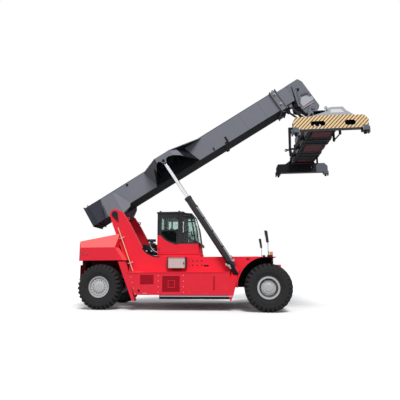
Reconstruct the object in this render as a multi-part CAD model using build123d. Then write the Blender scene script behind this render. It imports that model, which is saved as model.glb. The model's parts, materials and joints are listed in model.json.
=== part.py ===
from build123d import *
from math import copysign, cos, hypot, pi, radians, sin, tan
import os

# Container reach stacker, parked on its wheels with the boom part raised and the spreader closed
# to its 20-foot width. Millimetres. While it is modelled, X = 0 is the front axle and +X is
# forward, +Y is the machine's left and Z = 0 is the ground. Before the parts are written the whole
# machine is moved along X, so that the origin ends under the middle of its overall length.

# ---- wheels and axles ----
wheelbase = 6200
tyre_radius = 830
tyre_width = 480
tyre_seat_radius = 392          # where the bead sits on the rim
lug_count = 30                  # shoulder lugs round one tyre
lug_depth = 95
rim_wall = 26
front_track = 3660              # between the middles of the outer front tyres
twin_spacing = 560              # between the middles of one side's two front tyres
rear_track = 2750
kingpin_y = 1060
spindle_radius = 100
running_fit = 0.3               # radial play of pins, spindles and slides
clear = 10                      # gap kept between parts that swing past each other

# ---- frame and bodywork ----
rail_inner, rail_outer = 180, 330
rail_bottom = 760
deck_z = 1928
sill_z = 1370                   # top of the side boxes
belly_z = 557                   # underside of the side boxes
strut_foot_z = 352
body_half = 950                 # outer face of the posts and the upper body
box_half = 1750                 # outer face of the side boxes
post_thick = 200
sheet = 40
hood_half = 1500
hood_bottom_z = 1810
crease_z = 2300                 # where the hood's side turns inward

# ---- boom, in its own frame: s along the boom from the pivot, n square to it ----
rear_x = -wheelbase
pivot_x, pivot_z = rear_x + 300, 3640
boom_angle = 31.0
boom_half = 475
boom_bottom, boom_top = 195, 1040
boom_wall = 20
boom_tail, boom_mouth = -1115, 7995
collar_end = 8275
inner_half = 405
inner_bottom, inner_top = 255, 980
inner_wall = 18
inner_end = 8765
extension = 6800
boom_lap = 1735                 # of the inner boom left inside the outer one, fully out
inner_tail = boom_mouth - extension - boom_lap
pivot_pin_radius = 90

# ---- lift cylinders ----
cylinder_y = 1110
lower_pin_x, lower_pin_z = -1135, 1410
upper_pin_s, upper_pin_n = 2786, 709
barrel_radius, rod_radius = 130, 72
barrel_length = 3330
collar_radius = barrel_radius + 15
lift_pin_radius = 50
eye_radius = 95
eye_half = 70

# ---- cab ----
cab_half = 750
cab_rear, cab_floor = rear_x + 2000, 2050
cab_top = 3719
cab_wall = 50
waist_z = 2445                  # top of the red base in front of the door's curve
glass = 8
door_width, door_gap = 770, 6

# ---- spreader ----
tilt_s, tilt_n = 9125, -443     # tilt pin, in the boom's frame
tilt_pin_radius = 60
lock_pitch_x, lock_pitch_y = 2259, 5853
beam_height = 400               # of the main frame's sleeves
seat_drop = 490                 # from the sleeves' underside down to the corner seats
telescope_reach = 3085
telescope_lap = 2115            # of each telescopic beam left in its sleeve, fully out

# ---------------------------------------------------------------- helpers


def outline(start, *steps, y=0):
    """Closed wire in an XZ plane. A step is a point, or a pair (through, end) for an arc."""
    edges = []
    here = start
    for step in (*steps, start):
        if isinstance(step[0], tuple):
            through, end = step
            edges.append(ThreePointArc(*[(p[0], y, p[1]) for p in (here, through, end)]))
        elif step != here:
            end = step
            edges.append(Line((here[0], y, here[1]), (end[0], y, end[1])))
        here = end
    return Wire(edges)


def side_plate(y0, y1, start, *steps):
    """Plate with an XZ outline between two values of y."""
    return extrude(make_face(outline(start, *steps, y=y0)), amount=y1 - y0, dir=(0, 1, 0))


def plan_plate(z0, z1, *points):
    """Plate with an XY outline between two heights."""
    wire = Polyline(*[(x, y, z0) for x, y in points], close=True)
    return extrude(make_face(wire), amount=z1 - z0, dir=(0, 0, 1))


def cross_plate(x0, x1, *points):
    """Plate with a YZ outline between two values of x."""
    wire = Polyline(*[(x0, y, z) for y, z in points], close=True)
    return extrude(make_face(wire), amount=x1 - x0, dir=(1, 0, 0))


def block(x0, x1, y0, y1, z0, z1):
    return plan_plate(z0, z1, (x0, y0), (x1, y0), (x1, y1), (x0, y1))


def bar(start, end, radius):
    """Round bar between two points."""
    line = Vector(*end) - Vector(*start)
    return Plane(origin=start, z_dir=line) * Cylinder(
        radius, line.length, align=(Align.CENTER, Align.CENTER, Align.MIN))


def cross_bar(x, z, y0, y1, radius):
    """Round bar along Y."""
    return bar((x, y0, z), (x, y1, z), radius)


def upright(x, y, z0, z1, radius):
    """Round bar along Z."""
    return bar((x, y, z0), (x, y, z1), radius)


def turned(x, z, *points):
    """Solid of revolution about the line along Y through (x, z). A point is (y, radius)."""
    wire = Polyline(*[(x, y, z + r) for y, r in points], close=True)
    return revolve(make_face(wire), Axis((x, 0, z), (0, 1, 0)))


def other_side(shape):
    return mirror(shape, about=Plane.XZ)


def both(shape):
    return shape + other_side(shape)


boom_slope = radians(boom_angle)


def on_boom(s, n):
    """XZ place of a point given along and square to the boom."""
    return (pivot_x + s * cos(boom_slope) - n * sin(boom_slope),
            pivot_z + s * sin(boom_slope) + n * cos(boom_slope))


def boom_plate(y0, y1, *points):
    """Plate whose outline is given as (s, n) points of the boom's own frame."""
    return side_plate(y0, y1, *[on_boom(s, n) for s, n in points])


def boom_block(s0, s1, y0, y1, n0, n1):
    return boom_plate(y0, y1, (s0, n0), (s1, n0), (s1, n1), (s0, n1))


def boom_ring(s0, s1, half, n0, n1, hole_half, hole_n0, hole_n1):
    """Rectangular ring around the boom."""
    return (boom_block(s0, s1, -half, half, n0, n1)
            - boom_block(s0 - 1, s1 + 1, -hole_half, hole_half, hole_n0, hole_n1))


parts = {}

# ---------------------------------------------------------------- wheels

front_outer_y = front_track / 2
front_inner_y = front_outer_y - twin_spacing
rear_y = rear_track / 2
axle_z = tyre_radius
bead_inset = 58                 # from the widest point of the sidewall in to the bead
rim_half = tyre_width / 2 - bead_inset


def ring_section(y, flat_radius):
    """Regular polygon round the axle in the plane at y, with one of its sides at the bottom."""
    plane = Plane(origin=(0, y, 0), x_dir=(1, 0, 0), z_dir=(0, 1, 0))
    return plane * RegularPolygon(flat_radius, lug_count, major_radius=False)


def tyre_form():
    """Tyre round the Y axis: a many-sided carcass, with a groove between each two shoulder lugs."""
    half = tyre_width / 2
    # offset from the middle, radius over the flats
    profile = [(half - bead_inset, tyre_seat_radius + 45), (half, tyre_seat_radius + 218),
               (half - 14, tyre_radius - 75), (half - 60, tyre_radius)]
    rings = [(-y, radius) for y, radius in profile] + list(reversed(profile))
    carcass = loft([ring_section(y, radius) for y, radius in rings], ruled=True)
    bore = extrude(ring_section(-half, tyre_seat_radius), amount=tyre_width, dir=(0, 1, 0))
    corner = tyre_radius / cos(pi / lug_count)
    groove_y, groove_top, groove_flare = 70, 250, tan(radians(23))
    slope = lug_depth / (half - groove_y)
    mouth = Polyline((corner, groove_y, 0), (corner + groove_top, groove_y, groove_top * groove_flare),
                     (corner + groove_top, groove_y, -groove_top * groove_flare), close=True)
    groove = both(extrude(make_face(mouth), amount=half - groove_y + 20, dir=(-slope, 1, 0)))
    grooves = [Rotation(0, turn * 360 / lug_count, 0) * groove for turn in range(lug_count)]
    return carcass - bore - grooves


tyre = tyre_form()


def rim_barrel(x, y0, y1, lip_inside):
    """Rim between two values of y, y0 outermost and both negative, with a locking ring outside."""
    outside = tyre_seat_radius - running_fit
    inside = outside - rim_wall
    barrel = turned(x, axle_z, (y0, inside), (y0, outside), (y1, outside), (y1, inside))
    lip = turned(x, axle_z, (y0 - 22, lip_inside), (y0 - 22, outside + 22), (y0 - 6, outside + 32),
                 (y0, outside + 32), (y0, outside - 1), (y0 + 40, inside + 1), (y0 + 40, inside - 1),
                 (y0 - 4, lip_inside))
    return barrel + lip


def outward(centre_y, *points):
    """(offset, radius) points, offset outboard from a right-hand wheel's middle, as (y, radius)."""
    return [(-centre_y - offset, radius) for offset, radius in points]


def front_wheel():
    rim = rim_barrel(0, -front_outer_y - rim_half, -front_inner_y + rim_half, 322)
    bore = spindle_radius + running_fit
    rim += turned(0, axle_z, *outward(front_outer_y, (-60, bore), (-60, 380), (-100, 380), (-100, 240),
                                      (-twin_spacing - 60, 230), (-twin_spacing - 60, bore)))
    # hub housing of the planetary reduction, in steps
    rim += turned(0, axle_z, *outward(front_outer_y, (-61, bore), (-61, 285), (105, 264), (128, 244),
                                      (128, 206), (150, 198), (150, 150), (168, 120), (168, 0), (50, 0),
                                      (50, bore)))
    tyres = Pos(0, -front_outer_y, axle_z) * tyre + Pos(0, -front_inner_y, axle_z) * tyre
    return tyres, rim


def rear_wheel():
    rim = rim_barrel(rear_x, -rear_y - rim_half, -rear_y + rim_half, 350)
    bore = spindle_radius * 0.9 + running_fit
    rim += turned(rear_x, axle_z, *outward(rear_y, (150, 372), (165, 300), (165, 215), (185, 195),
                                           (198, 125), (198, 0), (80, 0), (80, bore), (-40, bore),
                                           (-40, 170), (125, 190), (125, 372)))
    for turn in (71, 143):
        hole_x, hole_z = rear_x + 250 * cos(radians(turn)), axle_z + 250 * sin(radians(turn))
        rim -= cross_bar(hole_x, hole_z, -rear_y - 200, -rear_y - 100, 18)
    return Pos(rear_x, -rear_y, axle_z) * tyre, rim


for axle, wheel in (("front", front_wheel()), ("rear", rear_wheel())):
    for piece, shape in zip(("tyre", "rim"), wheel):
        parts[f"{piece}_{axle}_right"] = shape
        parts[f"{piece}_{axle}_left"] = other_side(shape)

# ---------------------------------------------------------------- axles

rail_front_z = 1080             # rails' underside over the front axle
rail_rear_z = 1330              # and over the rear axle
front_axle_end = front_inner_y - tyre_width / 2 - 40
drive_axle = bar((0, -front_axle_end, axle_z), (0, front_axle_end, axle_z), 190)
drive_axle += bar((-90, 0, axle_z), (330, 0, axle_z), 300) + bar((-420, 0, axle_z), (-80, 0, axle_z), 120)
spindle_end = front_outer_y + 30
drive_axle += cross_bar(0, axle_z, -spindle_end, spindle_end, spindle_radius)
drive_axle += both(block(-230, 230, -rail_outer, -rail_inner, axle_z, rail_front_z))
parts["drive_axle"] = drive_axle

boss_radius, boss_half = 110, 170
ear = 60
kingpin_radius = 50
beam_half = 150
steer_axle = plan_plate(axle_z - beam_half, axle_z + beam_half,
                        (rear_x - beam_half, -kingpin_y), (rear_x + beam_half, -kingpin_y),
                        (rear_x + beam_half + 60, 0), (rear_x + beam_half, kingpin_y),
                        (rear_x - beam_half, kingpin_y), (rear_x - beam_half - 60, 0))
for side in (-1, 1):
    pin = (rear_x, side * kingpin_y)
    swing = Pos(*pin, axle_z) * Cylinder(boss_radius + clear, 2 * beam_half + 2)
    y0, y1 = sorted((side * kingpin_y, side * (kingpin_y + 340)))
    steer_axle -= swing & block(rear_x - 300, rear_x + 300, y0, y1, axle_z - 200, axle_z + 200)
    steer_axle += Pos(*pin, axle_z) * Cylinder(boss_radius, 2 * boss_half)
    steer_axle += Pos(*pin, axle_z) * Cylinder(kingpin_radius, 2 * (boss_half + ear + running_fit))
steer_axle += side_plate(-260, 260, (rear_x - 260, rail_rear_z), (rear_x + 260, rail_rear_z),
                         (rear_x + 150, axle_z + beam_half), (rear_x - 150, axle_z + beam_half))
parts["steer_axle"] = steer_axle

ear_z = boss_half + running_fit
cheek_y1 = -kingpin_y - boss_radius - clear
cheek_y0 = cheek_y1 - 55
knuckle = block(rear_x - boss_radius, rear_x + boss_radius, cheek_y0, cheek_y1,
                axle_z - ear_z - ear, axle_z + ear_z + ear)
for sign in (-1, 1):
    z0 = axle_z + sign * (ear_z + ear / 2)
    knuckle += Pos(rear_x, -kingpin_y, z0) * Cylinder(boss_radius, ear)
    knuckle += block(rear_x - boss_radius, rear_x + boss_radius, cheek_y1 - 1, -kingpin_y,
                     z0 - ear / 2, z0 + ear / 2)
knuckle -= Pos(rear_x, -kingpin_y, axle_z) * Cylinder(kingpin_radius + running_fit, 2 * (ear_z + ear) + 2)
knuckle += cross_bar(rear_x, axle_z, -rear_y - 60, cheek_y0 + 5, spindle_radius * 0.9)
parts["knuckle_right"] = knuckle
parts["knuckle_left"] = other_side(knuckle)

# ---------------------------------------------------------------- frame

rail_top = 1560
rail_nose = 620
rail = side_plate(-rail_outer, -rail_inner, (rail_nose, rail_front_z), (rail_nose, rail_top),
                  (rear_x + 1400, rail_top), (rear_x + 950, hood_bottom_z), (rear_x - 750, hood_bottom_z),
                  (rear_x - 750, rail_rear_z), (rear_x + 850, rail_rear_z), (rear_x + 1350, rail_bottom),
                  (-750, rail_bottom), (-450, rail_front_z))
frame = both(rail)
cross_top = 1500
# cross members: place along X, underside
for x, z0 in ((540, 1100), (-2550, 1100), (rear_x + 1700, 1100), (rear_x - 700, rail_rear_z)):
    frame += block(x, x + 60, -rail_inner - 1, rail_inner + 1, z0, cross_top)
front_wall = -380
frame += both(block(front_wall - 1, rail_nose, -rail_outer, -rail_inner, rail_top - 1, rail_top + 60))
parts["chassis_frame"] = frame

deck_rear, deck_front = rear_x + 2165, front_wall + 64
skin_half = body_half - sheet
deck = block(deck_rear, deck_front, -skin_half, skin_half, deck_z - sheet, deck_z)
deck += block(front_wall, front_wall + sheet, -skin_half, skin_half, rail_top + 60, deck_z - sheet + 1)
deck += both(block(front_wall, front_wall + sheet, -skin_half, -rail_outer, rail_front_z, rail_top + 61))
# bulkheads between the rails and the body's side plates: place along X, top
for x, top in ((rear_x + 1600, sill_z), (rear_x + 2600, deck_z - sheet + 1), (-2500, deck_z - sheet + 1),
               (-1250, deck_z - sheet + 1)):
    deck += both(block(x, x + sheet, -skin_half, -rail_outer, 800, top))
parts["deck"] = deck

# side frame: the leaning boom post, its foot and the body plate run into one another
post_front = [(pivot_x + 307, pivot_z + 85), (pivot_x + 594, pivot_z - 349),
              (pivot_x + 1102, pivot_z - 1271)]
post_foot_x = pivot_x + 660
post_rear = [(post_foot_x, sill_z), (pivot_x - 61, pivot_z - 446), (pivot_x - 198, pivot_z - 40)]
notch_x = pivot_x + 1824         # where the engine opening in the body's side ends
post = side_plate(-body_half, -body_half + post_thick, *post_rear,
                  ((pivot_x - 85, pivot_z + 182), (pivot_x + 80, pivot_z + 190)), *post_front,
                  ((pivot_x + 1347, pivot_z - 1549), (notch_x, deck_z)), (notch_x, sill_z))
post += side_plate(-body_half, -body_half + sheet, (pivot_x + 1050, 800), (post_foot_x, sill_z),
                   (notch_x, deck_z), (deck_front, deck_z), (-560, 1850), (-760, 1715), (-930, sill_z),
                   (-1100, 800))
post -= cross_bar(pivot_x, pivot_z, -body_half - 1, -body_half + post_thick + 1, pivot_pin_radius - 2)
post += cross_bar(pivot_x, pivot_z, -body_half, -boom_half - 60, pivot_pin_radius)
# lifting eye on the post's front edge
eye_x, eye_z = pivot_x + 533, pivot_z - 175
post_middle = -body_half + post_thick / 2
lug = cross_bar(eye_x, eye_z, post_middle - 15, post_middle + 15, 58)
lug += side_plate(post_middle - 15, post_middle + 15, (eye_x - 120, eye_z + 60), (eye_x, eye_z + 50),
                  (eye_x + 50, eye_z - 30), (eye_x - 10, eye_z - 110))
post += lug - cross_bar(eye_x, eye_z, post_middle - 16, post_middle + 16, 28)
# fork that carries the foot of the lift cylinder
cylinder_gap = eye_half + clear
fork_ear = 60
fork_z = 1120
mount_y0 = -cylinder_y - cylinder_gap - fork_ear
fork_rear, fork_front = lower_pin_x - 195, lower_pin_x + 60
for y0 in (mount_y0, -cylinder_y + cylinder_gap):
    post += side_plate(y0, y0 + fork_ear, (fork_rear, fork_z + 60), (lower_pin_x - 120, lower_pin_z),
                       ((lower_pin_x, lower_pin_z + 120), (lower_pin_x + 120, lower_pin_z)),
                       (fork_front, fork_z + 60))
post += block(fork_rear, fork_front, mount_y0, -body_half + 1, fork_z, fork_z + 115)
post += cross_bar(lower_pin_x, lower_pin_z, mount_y0 - 1, -cylinder_y + cylinder_gap + fork_ear + 1,
                  lift_pin_radius)
parts["side_frame_right"] = post
parts["side_frame_left"] = other_side(post)

# drop-shaped keeper plates over the ends of the boom's pivot pins
cover = side_plate(-body_half - 28, -body_half, (pivot_x - 118, pivot_z - 40),
                   ((pivot_x, pivot_z + 125), (pivot_x + 123, pivot_z - 20)),
                   (pivot_x + 165, pivot_z - 300), (pivot_x + 95, pivot_z - 255))
parts["pin_covers"] = both(cover)

# ---------------------------------------------------------------- side boxes

box_top_rear, box_bottom_rear = rear_x + 1055, rear_x + 1410
box_front_top, box_front_bottom = -1011, -1200
side_box = side_plate(-box_half, -body_half, (box_top_rear, sill_z), (box_front_top, sill_z),
                      (box_front_bottom, 600), (box_front_bottom - 15, belly_z), (box_bottom_rear, belly_z))
side_box -= block(fork_rear - 2, box_front_top + 111, -box_half - 1, -body_half + 1, fork_z - 2,
                  sill_z + 1)
# rear strut from the hood down to the foot, and the thin tip plate at the front
side_box += side_plate(-box_half, -box_half + 220, (rear_x + 760, 1760), (rear_x + 1000, 1760),
                       (rear_x + 1430, strut_foot_z), (rear_x + 1320, strut_foot_z))
side_box += side_plate(-box_half, -box_half + 20, (box_front_bottom - 100, strut_foot_z),
                       (box_front_bottom, 600), (box_front_bottom - 200, 600),
                       (box_front_bottom - 130, strut_foot_z))
lip = 12
side_box += block(box_top_rear + 40, fork_rear - 2, -box_half - lip, -box_half + 1, sill_z - 26, sill_z)
grille_depth = 45
slat, slat_lift = 9, 3           # thickness, and the lowest one's height over the opening's sill
# louvred grilles: rear end, front end, bottom, top, number of slats
for x0, x1, z0, z1, slats in ((box_top_rear + 556, box_top_rear + 1057, 927, 1270, 10),
                              (box_top_rear + 1375, box_top_rear + 2015, 665, 1225, 16)):
    side_box -= block(x0, x1, -box_half - 1, -box_half + grille_depth, z0, z1)
    pitch = (z1 - z0) / slats
    for row in range(slats):
        low = z0 + slat_lift + row * pitch
        side_box += cross_plate(x0 - 1, x1 + 1, (-box_half + 2, low), (-box_half + 2, low + slat),
                                (-box_half + grille_depth - 8, low + slat + pitch * 0.6),
                                (-box_half + grille_depth - 8, low + pitch * 0.6))
fan_x, fan_z = box_top_rear + 1712, 946
fan_half, fan_hole = 130, 110
fan_frame = block(fan_x - fan_half, fan_x + fan_half, -box_half - 6, -box_half + grille_depth,
                  fan_z - fan_half, fan_z + fan_half)
fan_frame -= block(fan_x - fan_hole, fan_x + fan_hole, -box_half - 7, -box_half + grille_depth + 1,
                   fan_z - fan_hole, fan_z + fan_hole)
side_box += fan_frame
# filler cap low at the rear, recessed handle near the front
side_box += cross_bar(box_top_rear + 517, 728, -box_half - 24, -box_half + 1, 46)
handle_x = box_front_top - 890
side_box -= block(handle_x - 26, handle_x + 26, -box_half - 1, -box_half + 30, 740, 1225)
side_box += block(handle_x - 8, handle_x + 8, -box_half - 4, -box_half + 31, 760, 1205)
parts["side_box_right"] = side_box
parts["side_box_left"] = other_side(side_box)

board_bottom = 414
board = side_plate(-box_half + 25, -box_half + 450, (rear_x + 2320, belly_z), (rear_x + 2320, board_bottom),
                   (box_front_bottom - 90, board_bottom), (box_front_bottom - 15, belly_z))
board += block(rear_x + 3000, box_front_bottom - 215, -box_half + 5, -box_half + 26, 500, 530)
parts["running_boards"] = both(board)

# ---------------------------------------------------------------- fenders

fender_outer, fender_sheet = 1100, 40
fender_top = 1888
fender_y0, fender_y1 = -2075, -960
fender_end_x = 282
fender_inner = fender_outer - fender_sheet


def on_arch(radius, turn):
    """Point of the wheel arch, turned up from the rear end by an angle in degrees."""
    return (-radius * cos(radians(turn)), axle_z + radius * sin(radians(turn)))


bracket_z = 1705
under_z = fender_top - 33
fender = side_plate(fender_y0, fender_y1, on_arch(fender_outer, 0),
                    (on_arch(fender_outer, 35), on_arch(fender_outer, 70)), (-200, fender_top),
                    (fender_end_x, fender_top), (fender_end_x, fender_top - 25), (190, under_z),
                    (140, bracket_z), (110, bracket_z), (150, under_z), (-190, under_z),
                    on_arch(fender_inner, 70), (on_arch(fender_inner, 35), on_arch(fender_inner, 0)))
fender += side_plate(fender_y1 - 40, fender_y1, (-970, sill_z), (-910, 1500), (-760, 1715), (-560, 1850),
                     (-330, deck_z), (160, deck_z - 30), (160, 1700), (-400, 1700))
fender += block(front_wall, deck_front - 1, fender_y1, -skin_half, 1700, deck_z - sheet)
parts["front_fenders"] = both(fender)

# ---------------------------------------------------------------- counterweight and engine

hood_rear, hood_front = rear_x - 1130, rear_x + 535
hood_toe = rear_x + 870
hood_top = 2900
corner_x, corner_y = rear_x - 810, 850      # where the rear corners are cut off in plan
weight = side_plate(-hood_half, hood_half, (hood_rear, hood_bottom_z), (hood_rear, 2400),
                    ((hood_rear + 32, 2492), (hood_rear + 120, 2535)), (hood_front, 2860),
                    (hood_front, crease_z), (hood_toe, hood_bottom_z))
weight &= cross_plate(hood_rear - 10, hood_toe + 10, (-hood_half, hood_bottom_z), (-hood_half, crease_z),
                      (-900, hood_top), (900, hood_top), (hood_half, crease_z), (hood_half, hood_bottom_z))
weight &= plan_plate(hood_bottom_z - 100, hood_top + 100, (corner_x, -hood_half),
                     (hood_toe + 10, -hood_half), (hood_toe + 10, hood_half), (corner_x, hood_half),
                     (hood_rear, corner_y), (hood_rear, -corner_y))
mass_front = hood_rear + 220
weight += block(hood_rear + 40, mass_front, -600, 600, 1620, hood_bottom_z + 1)
weight += block(hood_rear, mass_front, -700, 700, 1060, 1640)
weight -= block(hood_rear - 1, hood_rear + 110, -120, 120, 1220, 1360)
weight += upright(hood_rear + 55, 0, 1150, 1400, 24)
weight -= both(block(pivot_x + 30, hood_toe + 130, -body_half - clear, -body_half + post_thick + clear,
                     hood_bottom_z - 110, hood_top + 100))
parts["counterweight"] = weight

engine_rear, engine_front = rear_x + 900, rear_x + 1900
engine = block(engine_rear, engine_front, -300, 300, hood_bottom_z + 5, 2450)
engine += block(engine_rear, engine_front - 220, -420, 420, 1900, 2300)
engine += block(engine_rear + 100, engine_front, -rail_inner + 10, rail_inner - 10, cross_top,
                hood_bottom_z + 6)
parts["engine_block"] = engine
intake_x, intake_y = engine_front - 150, -620
intake = upright(intake_x, intake_y, 2150, 2600, 70) + upright(intake_x, intake_y, 2545, 2640, 165)
intake += bar((intake_x, intake_y, 2200), (intake_x, -300, 2200), 60)
parts["air_intake"] = intake

# ---------------------------------------------------------------- fittings on the body

cabinet_x, cabinet_z = rear_x + 2835, 1704
cabinet = block(cabinet_x - 325, cabinet_x + 335, -body_half - 170, -body_half, cabinet_z - 176,
                cabinet_z + 176)
cabinet += block(cabinet_x - 320, cabinet_x + 320, -body_half - 200, -body_half - 169, cabinet_z - 194,
                 cabinet_z + 194)
cabinet += cross_bar(cabinet_x + 255, cabinet_z, -body_half - 208, -body_half - 199, 22)
for step in range(4):
    cabinet += upright(cabinet_x - 105 + 70 * step, -body_half - 90, cabinet_z - 215, cabinet_z - 175, 20)
parts["electric_cabinet"] = cabinet

# pipe up each post's side, with short cross pieces that stand it off the post
pipe_y = -body_half - 70
pipe_top, pipe_foot = (pivot_x + 178, pivot_z - 550), (pivot_x + 819, sill_z + 40)
pipe_lean = (pipe_foot[0] - pipe_top[0]) / (pipe_top[1] - pipe_foot[1])
pipe = bar((pipe_top[0], pipe_y, pipe_top[1]), (pipe_foot[0], pipe_y, pipe_foot[1]), 18)
for z in (pivot_z - 954, pivot_z - 1923):
    x = pipe_top[0] + (pipe_top[1] - z) * pipe_lean
    pipe += bar((x, pipe_y, z), (x, -body_half, z), 14)
    pipe += bar((x - 85, pipe_y, z - 27), (x + 115, pipe_y, z + 36), 14)
# grab bar beside the door
grab_x, grab_y = cab_rear + 1005, -cab_half - 50
pipe += upright(grab_x, grab_y, 2900, 3330, 12)
for z in (2912, 3318):
    pipe += bar((grab_x, grab_y, z), (grab_x, -cab_half, z), 12)
parts["handrails"] = both(pipe)

mirror_x, mirror_y = 30, -1950
head_half = 90
stalk_top = 2450
stand = upright(mirror_x, mirror_y, fender_top, stalk_top, 16)
stand += upright(mirror_x, mirror_y, fender_top, fender_top + 55, 45)
stand += block(70, 180, mirror_y - 40, mirror_y + 40, fender_top, 2060)
parts["mirrors_and_lamps"] = both(stand)
mirror_head = side_plate(mirror_y - head_half, mirror_y + head_half, (-8, 2410), ((26, 2380), (60, 2410)),
                         (-20, 2775), ((-56, 2808), (-84, 2765)))
mirror_head -= upright(mirror_x, mirror_y, fender_top, stalk_top + running_fit, 16 + running_fit)
parts["mirror_heads"] = both(mirror_head)
lens_half = 58
lamps = cross_bar(125, 2000, mirror_y - 40 - lens_half, mirror_y - 40 - running_fit, lens_half)
lamps += cross_bar(rear_x - 545, 2070, -hood_half - 22, -hood_half - running_fit, 40)
parts["marker_lamps"] = both(lamps)

# ---------------------------------------------------------------- cab

screen_foot = cab_rear + 1630    # windscreen's lower end
toe_x = cab_rear + 1676
brow_x, brow_z = cab_rear + 1395, 3640
roof_break = cab_rear + 1010
screen_bulge = (cab_rear + 1550, 3060)
cab_side = [(cab_rear, cab_floor), (cab_rear, cab_top), (roof_break, cab_top - 29), (brow_x, brow_z),
            (screen_bulge, (screen_foot, 2440)), (toe_x, cab_floor)]
inside_bulge = (screen_bulge[0] - cab_wall, screen_bulge[1])
cab_inside = [(cab_rear + cab_wall, cab_floor + cab_wall), (cab_rear + cab_wall, cab_top - cab_wall),
              (roof_break, cab_top - 29 - cab_wall), (brow_x - cab_wall + 8, brow_z - cab_wall),
              (inside_bulge, (screen_foot - cab_wall, 2440)), (toe_x - cab_wall, cab_floor + cab_wall)]
shell = side_plate(-cab_half, cab_half, *cab_side)
shell -= side_plate(-cab_half + cab_wall, cab_half - cab_wall, *cab_inside)
# everything under this curved line is the red base
sweep_rear = 2796
sweep = [((cab_rear + 380, 2560), (cab_rear + 710, waist_z))]
waist = side_plate(-cab_half - 5, cab_half + 5, (cab_rear - 5, cab_floor - 5), (cab_rear - 5, sweep_rear),
                   (cab_rear + 120, sweep_rear), *sweep, (toe_x + 124, waist_z),
                   (toe_x + 124, cab_floor - 5))
door_x0, door_z0, door_z1 = cab_rear + 60, cab_floor + 70, 3620
door_x1 = door_x0 + door_width
pane_top, pane_bottom = 3560, 2480
wall_y0, wall_y1 = -cab_half - 5, -cab_half + cab_wall + 5
opening = block(door_x0, door_x1, wall_y0, wall_y1, door_z0, door_z1)
side_x0, side_x1 = door_x1 + 195, door_x1 + 510      # side window in front of the door
windows = block(side_x0, side_x1, wall_y0, wall_y1, pane_bottom, pane_top)
screen_half = cab_half - 60
front_window = block(cab_rear + 1240, toe_x + 124, -screen_half, screen_half, pane_bottom, 3590)
rear_window = block(cab_rear - 5, cab_rear + cab_wall + 5, -500, 500, 2850, pane_top)
shell -= both(opening) + both(windows) + front_window + rear_window
plinth = block(cab_rear + 30, cab_rear + 1700, -cab_half + 20, cab_half - 20, deck_z, cab_floor)
base = (shell & waist) + plinth
frame_top = shell - waist
# roof slab over the rear two thirds, with four lifting lugs
frame_top += block(cab_rear - 22, roof_break + 20, -cab_half - 12, cab_half + 12, cab_top - 60, cab_top + 6)
for x in (cab_rear + 110, cab_rear + 870):
    frame_top += both(block(x - 35, x + 35, -cab_half + 40, -cab_half + 60, cab_top, cab_top + 52))
# bar and wiper housing across the foot of the windscreen
frame_top += block(screen_foot - 10, screen_foot + 60, -screen_half, screen_half, waist_z + 1, pane_bottom)
pane_y0, pane_y1 = -cab_half + 20, -cab_half + 20 + glass
inset = 20
screen_outer = [(screen_foot - inset + glass, pane_bottom),
                ((screen_bulge[0] - inset + glass, screen_bulge[1]), (brow_x - inset + glass + 12, 3590))]
screen_inner = [(brow_x - inset + 12, 3590), ((screen_bulge[0] - inset, screen_bulge[1]),
                                              (screen_foot - inset, pane_bottom))]
panes = side_plate(-screen_half, screen_half, *screen_outer, *screen_inner)
panes += both(block(side_x0, side_x1, pane_y0, pane_y1, pane_bottom, pane_top))
panes += block(cab_rear + inset, cab_rear + inset + glass, -500, 500, 2850, pane_top)
parts["cab_glass"] = panes

# door: dark upper part with two lights over a third, and a red skirt below the curved line
door = block(door_x0 + door_gap, door_x1 - door_gap, -cab_half, -cab_half + cab_wall,
             door_z0 + door_gap, door_z1 - door_gap)
rail_low, rail_high = 2950, 3005
slim_x0, slim_x1 = door_x0 + 110, door_x0 + 230
light_x0, light_x1 = door_x0 + 290, door_x1 - 70
light_top, light_foot = 3500, 2500
lights = [[(slim_x0, rail_high), (slim_x1, rail_high), (slim_x1, light_top), (slim_x0, light_top)],
          [(light_x0, rail_high), (light_x1, rail_high), (light_x1, light_top), (light_x0, light_top)],
          [(slim_x0, rail_low), (slim_x0, 2790), (door_x0 + 350, 2600), (light_x1 - 60, light_foot),
           (light_x1, light_foot), (light_x1, rail_low)]]
lights_cut = [side_plate(wall_y0, wall_y1, *points) for points in lights]
door -= lights_cut
skirt = door & waist
door -= waist
# hinges stand proud of the cab's side: the lower half belongs to the cab, the upper one to the door
hinge_y = -cab_half - 16
hinge_x = door_x0 + 4
knuckle_radius, hinge_pin = 14, 8
for z, upper in ((2250, False), (3330, True)):
    hinge = Pos(hinge_x, hinge_y, z + 20) * Cylinder(knuckle_radius, 40)
    hinge += block(hinge_x - 50, hinge_x, hinge_y - 6, -cab_half + 1, z, z + 40)
    hinge += Pos(hinge_x, hinge_y, z + 40) * Cylinder(hinge_pin, 80)
    leaf = Pos(hinge_x, hinge_y, z + 60) * Cylinder(knuckle_radius, 40)
    leaf += block(hinge_x, hinge_x + 50, hinge_y - 6, -cab_half + 1, z + 40, z + 80)
    leaf -= Pos(hinge_x, hinge_y, z + 60) * Cylinder(hinge_pin + running_fit, 42)
    if upper:
        frame_top += both(hinge)
        door += leaf
    else:
        base += both(hinge)
        skirt += leaf
parts["cab_base"] = base
parts["cab_frame"] = frame_top
door_panes = [side_plate(pane_y0, pane_y1, *points) for points in lights]
for name, shape in (("cab_door", door), ("door_skirt", skirt), ("door_glass", Part() + door_panes)):
    parts[f"{name}_right"] = shape
    parts[f"{name}_left"] = other_side(shape)

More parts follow.
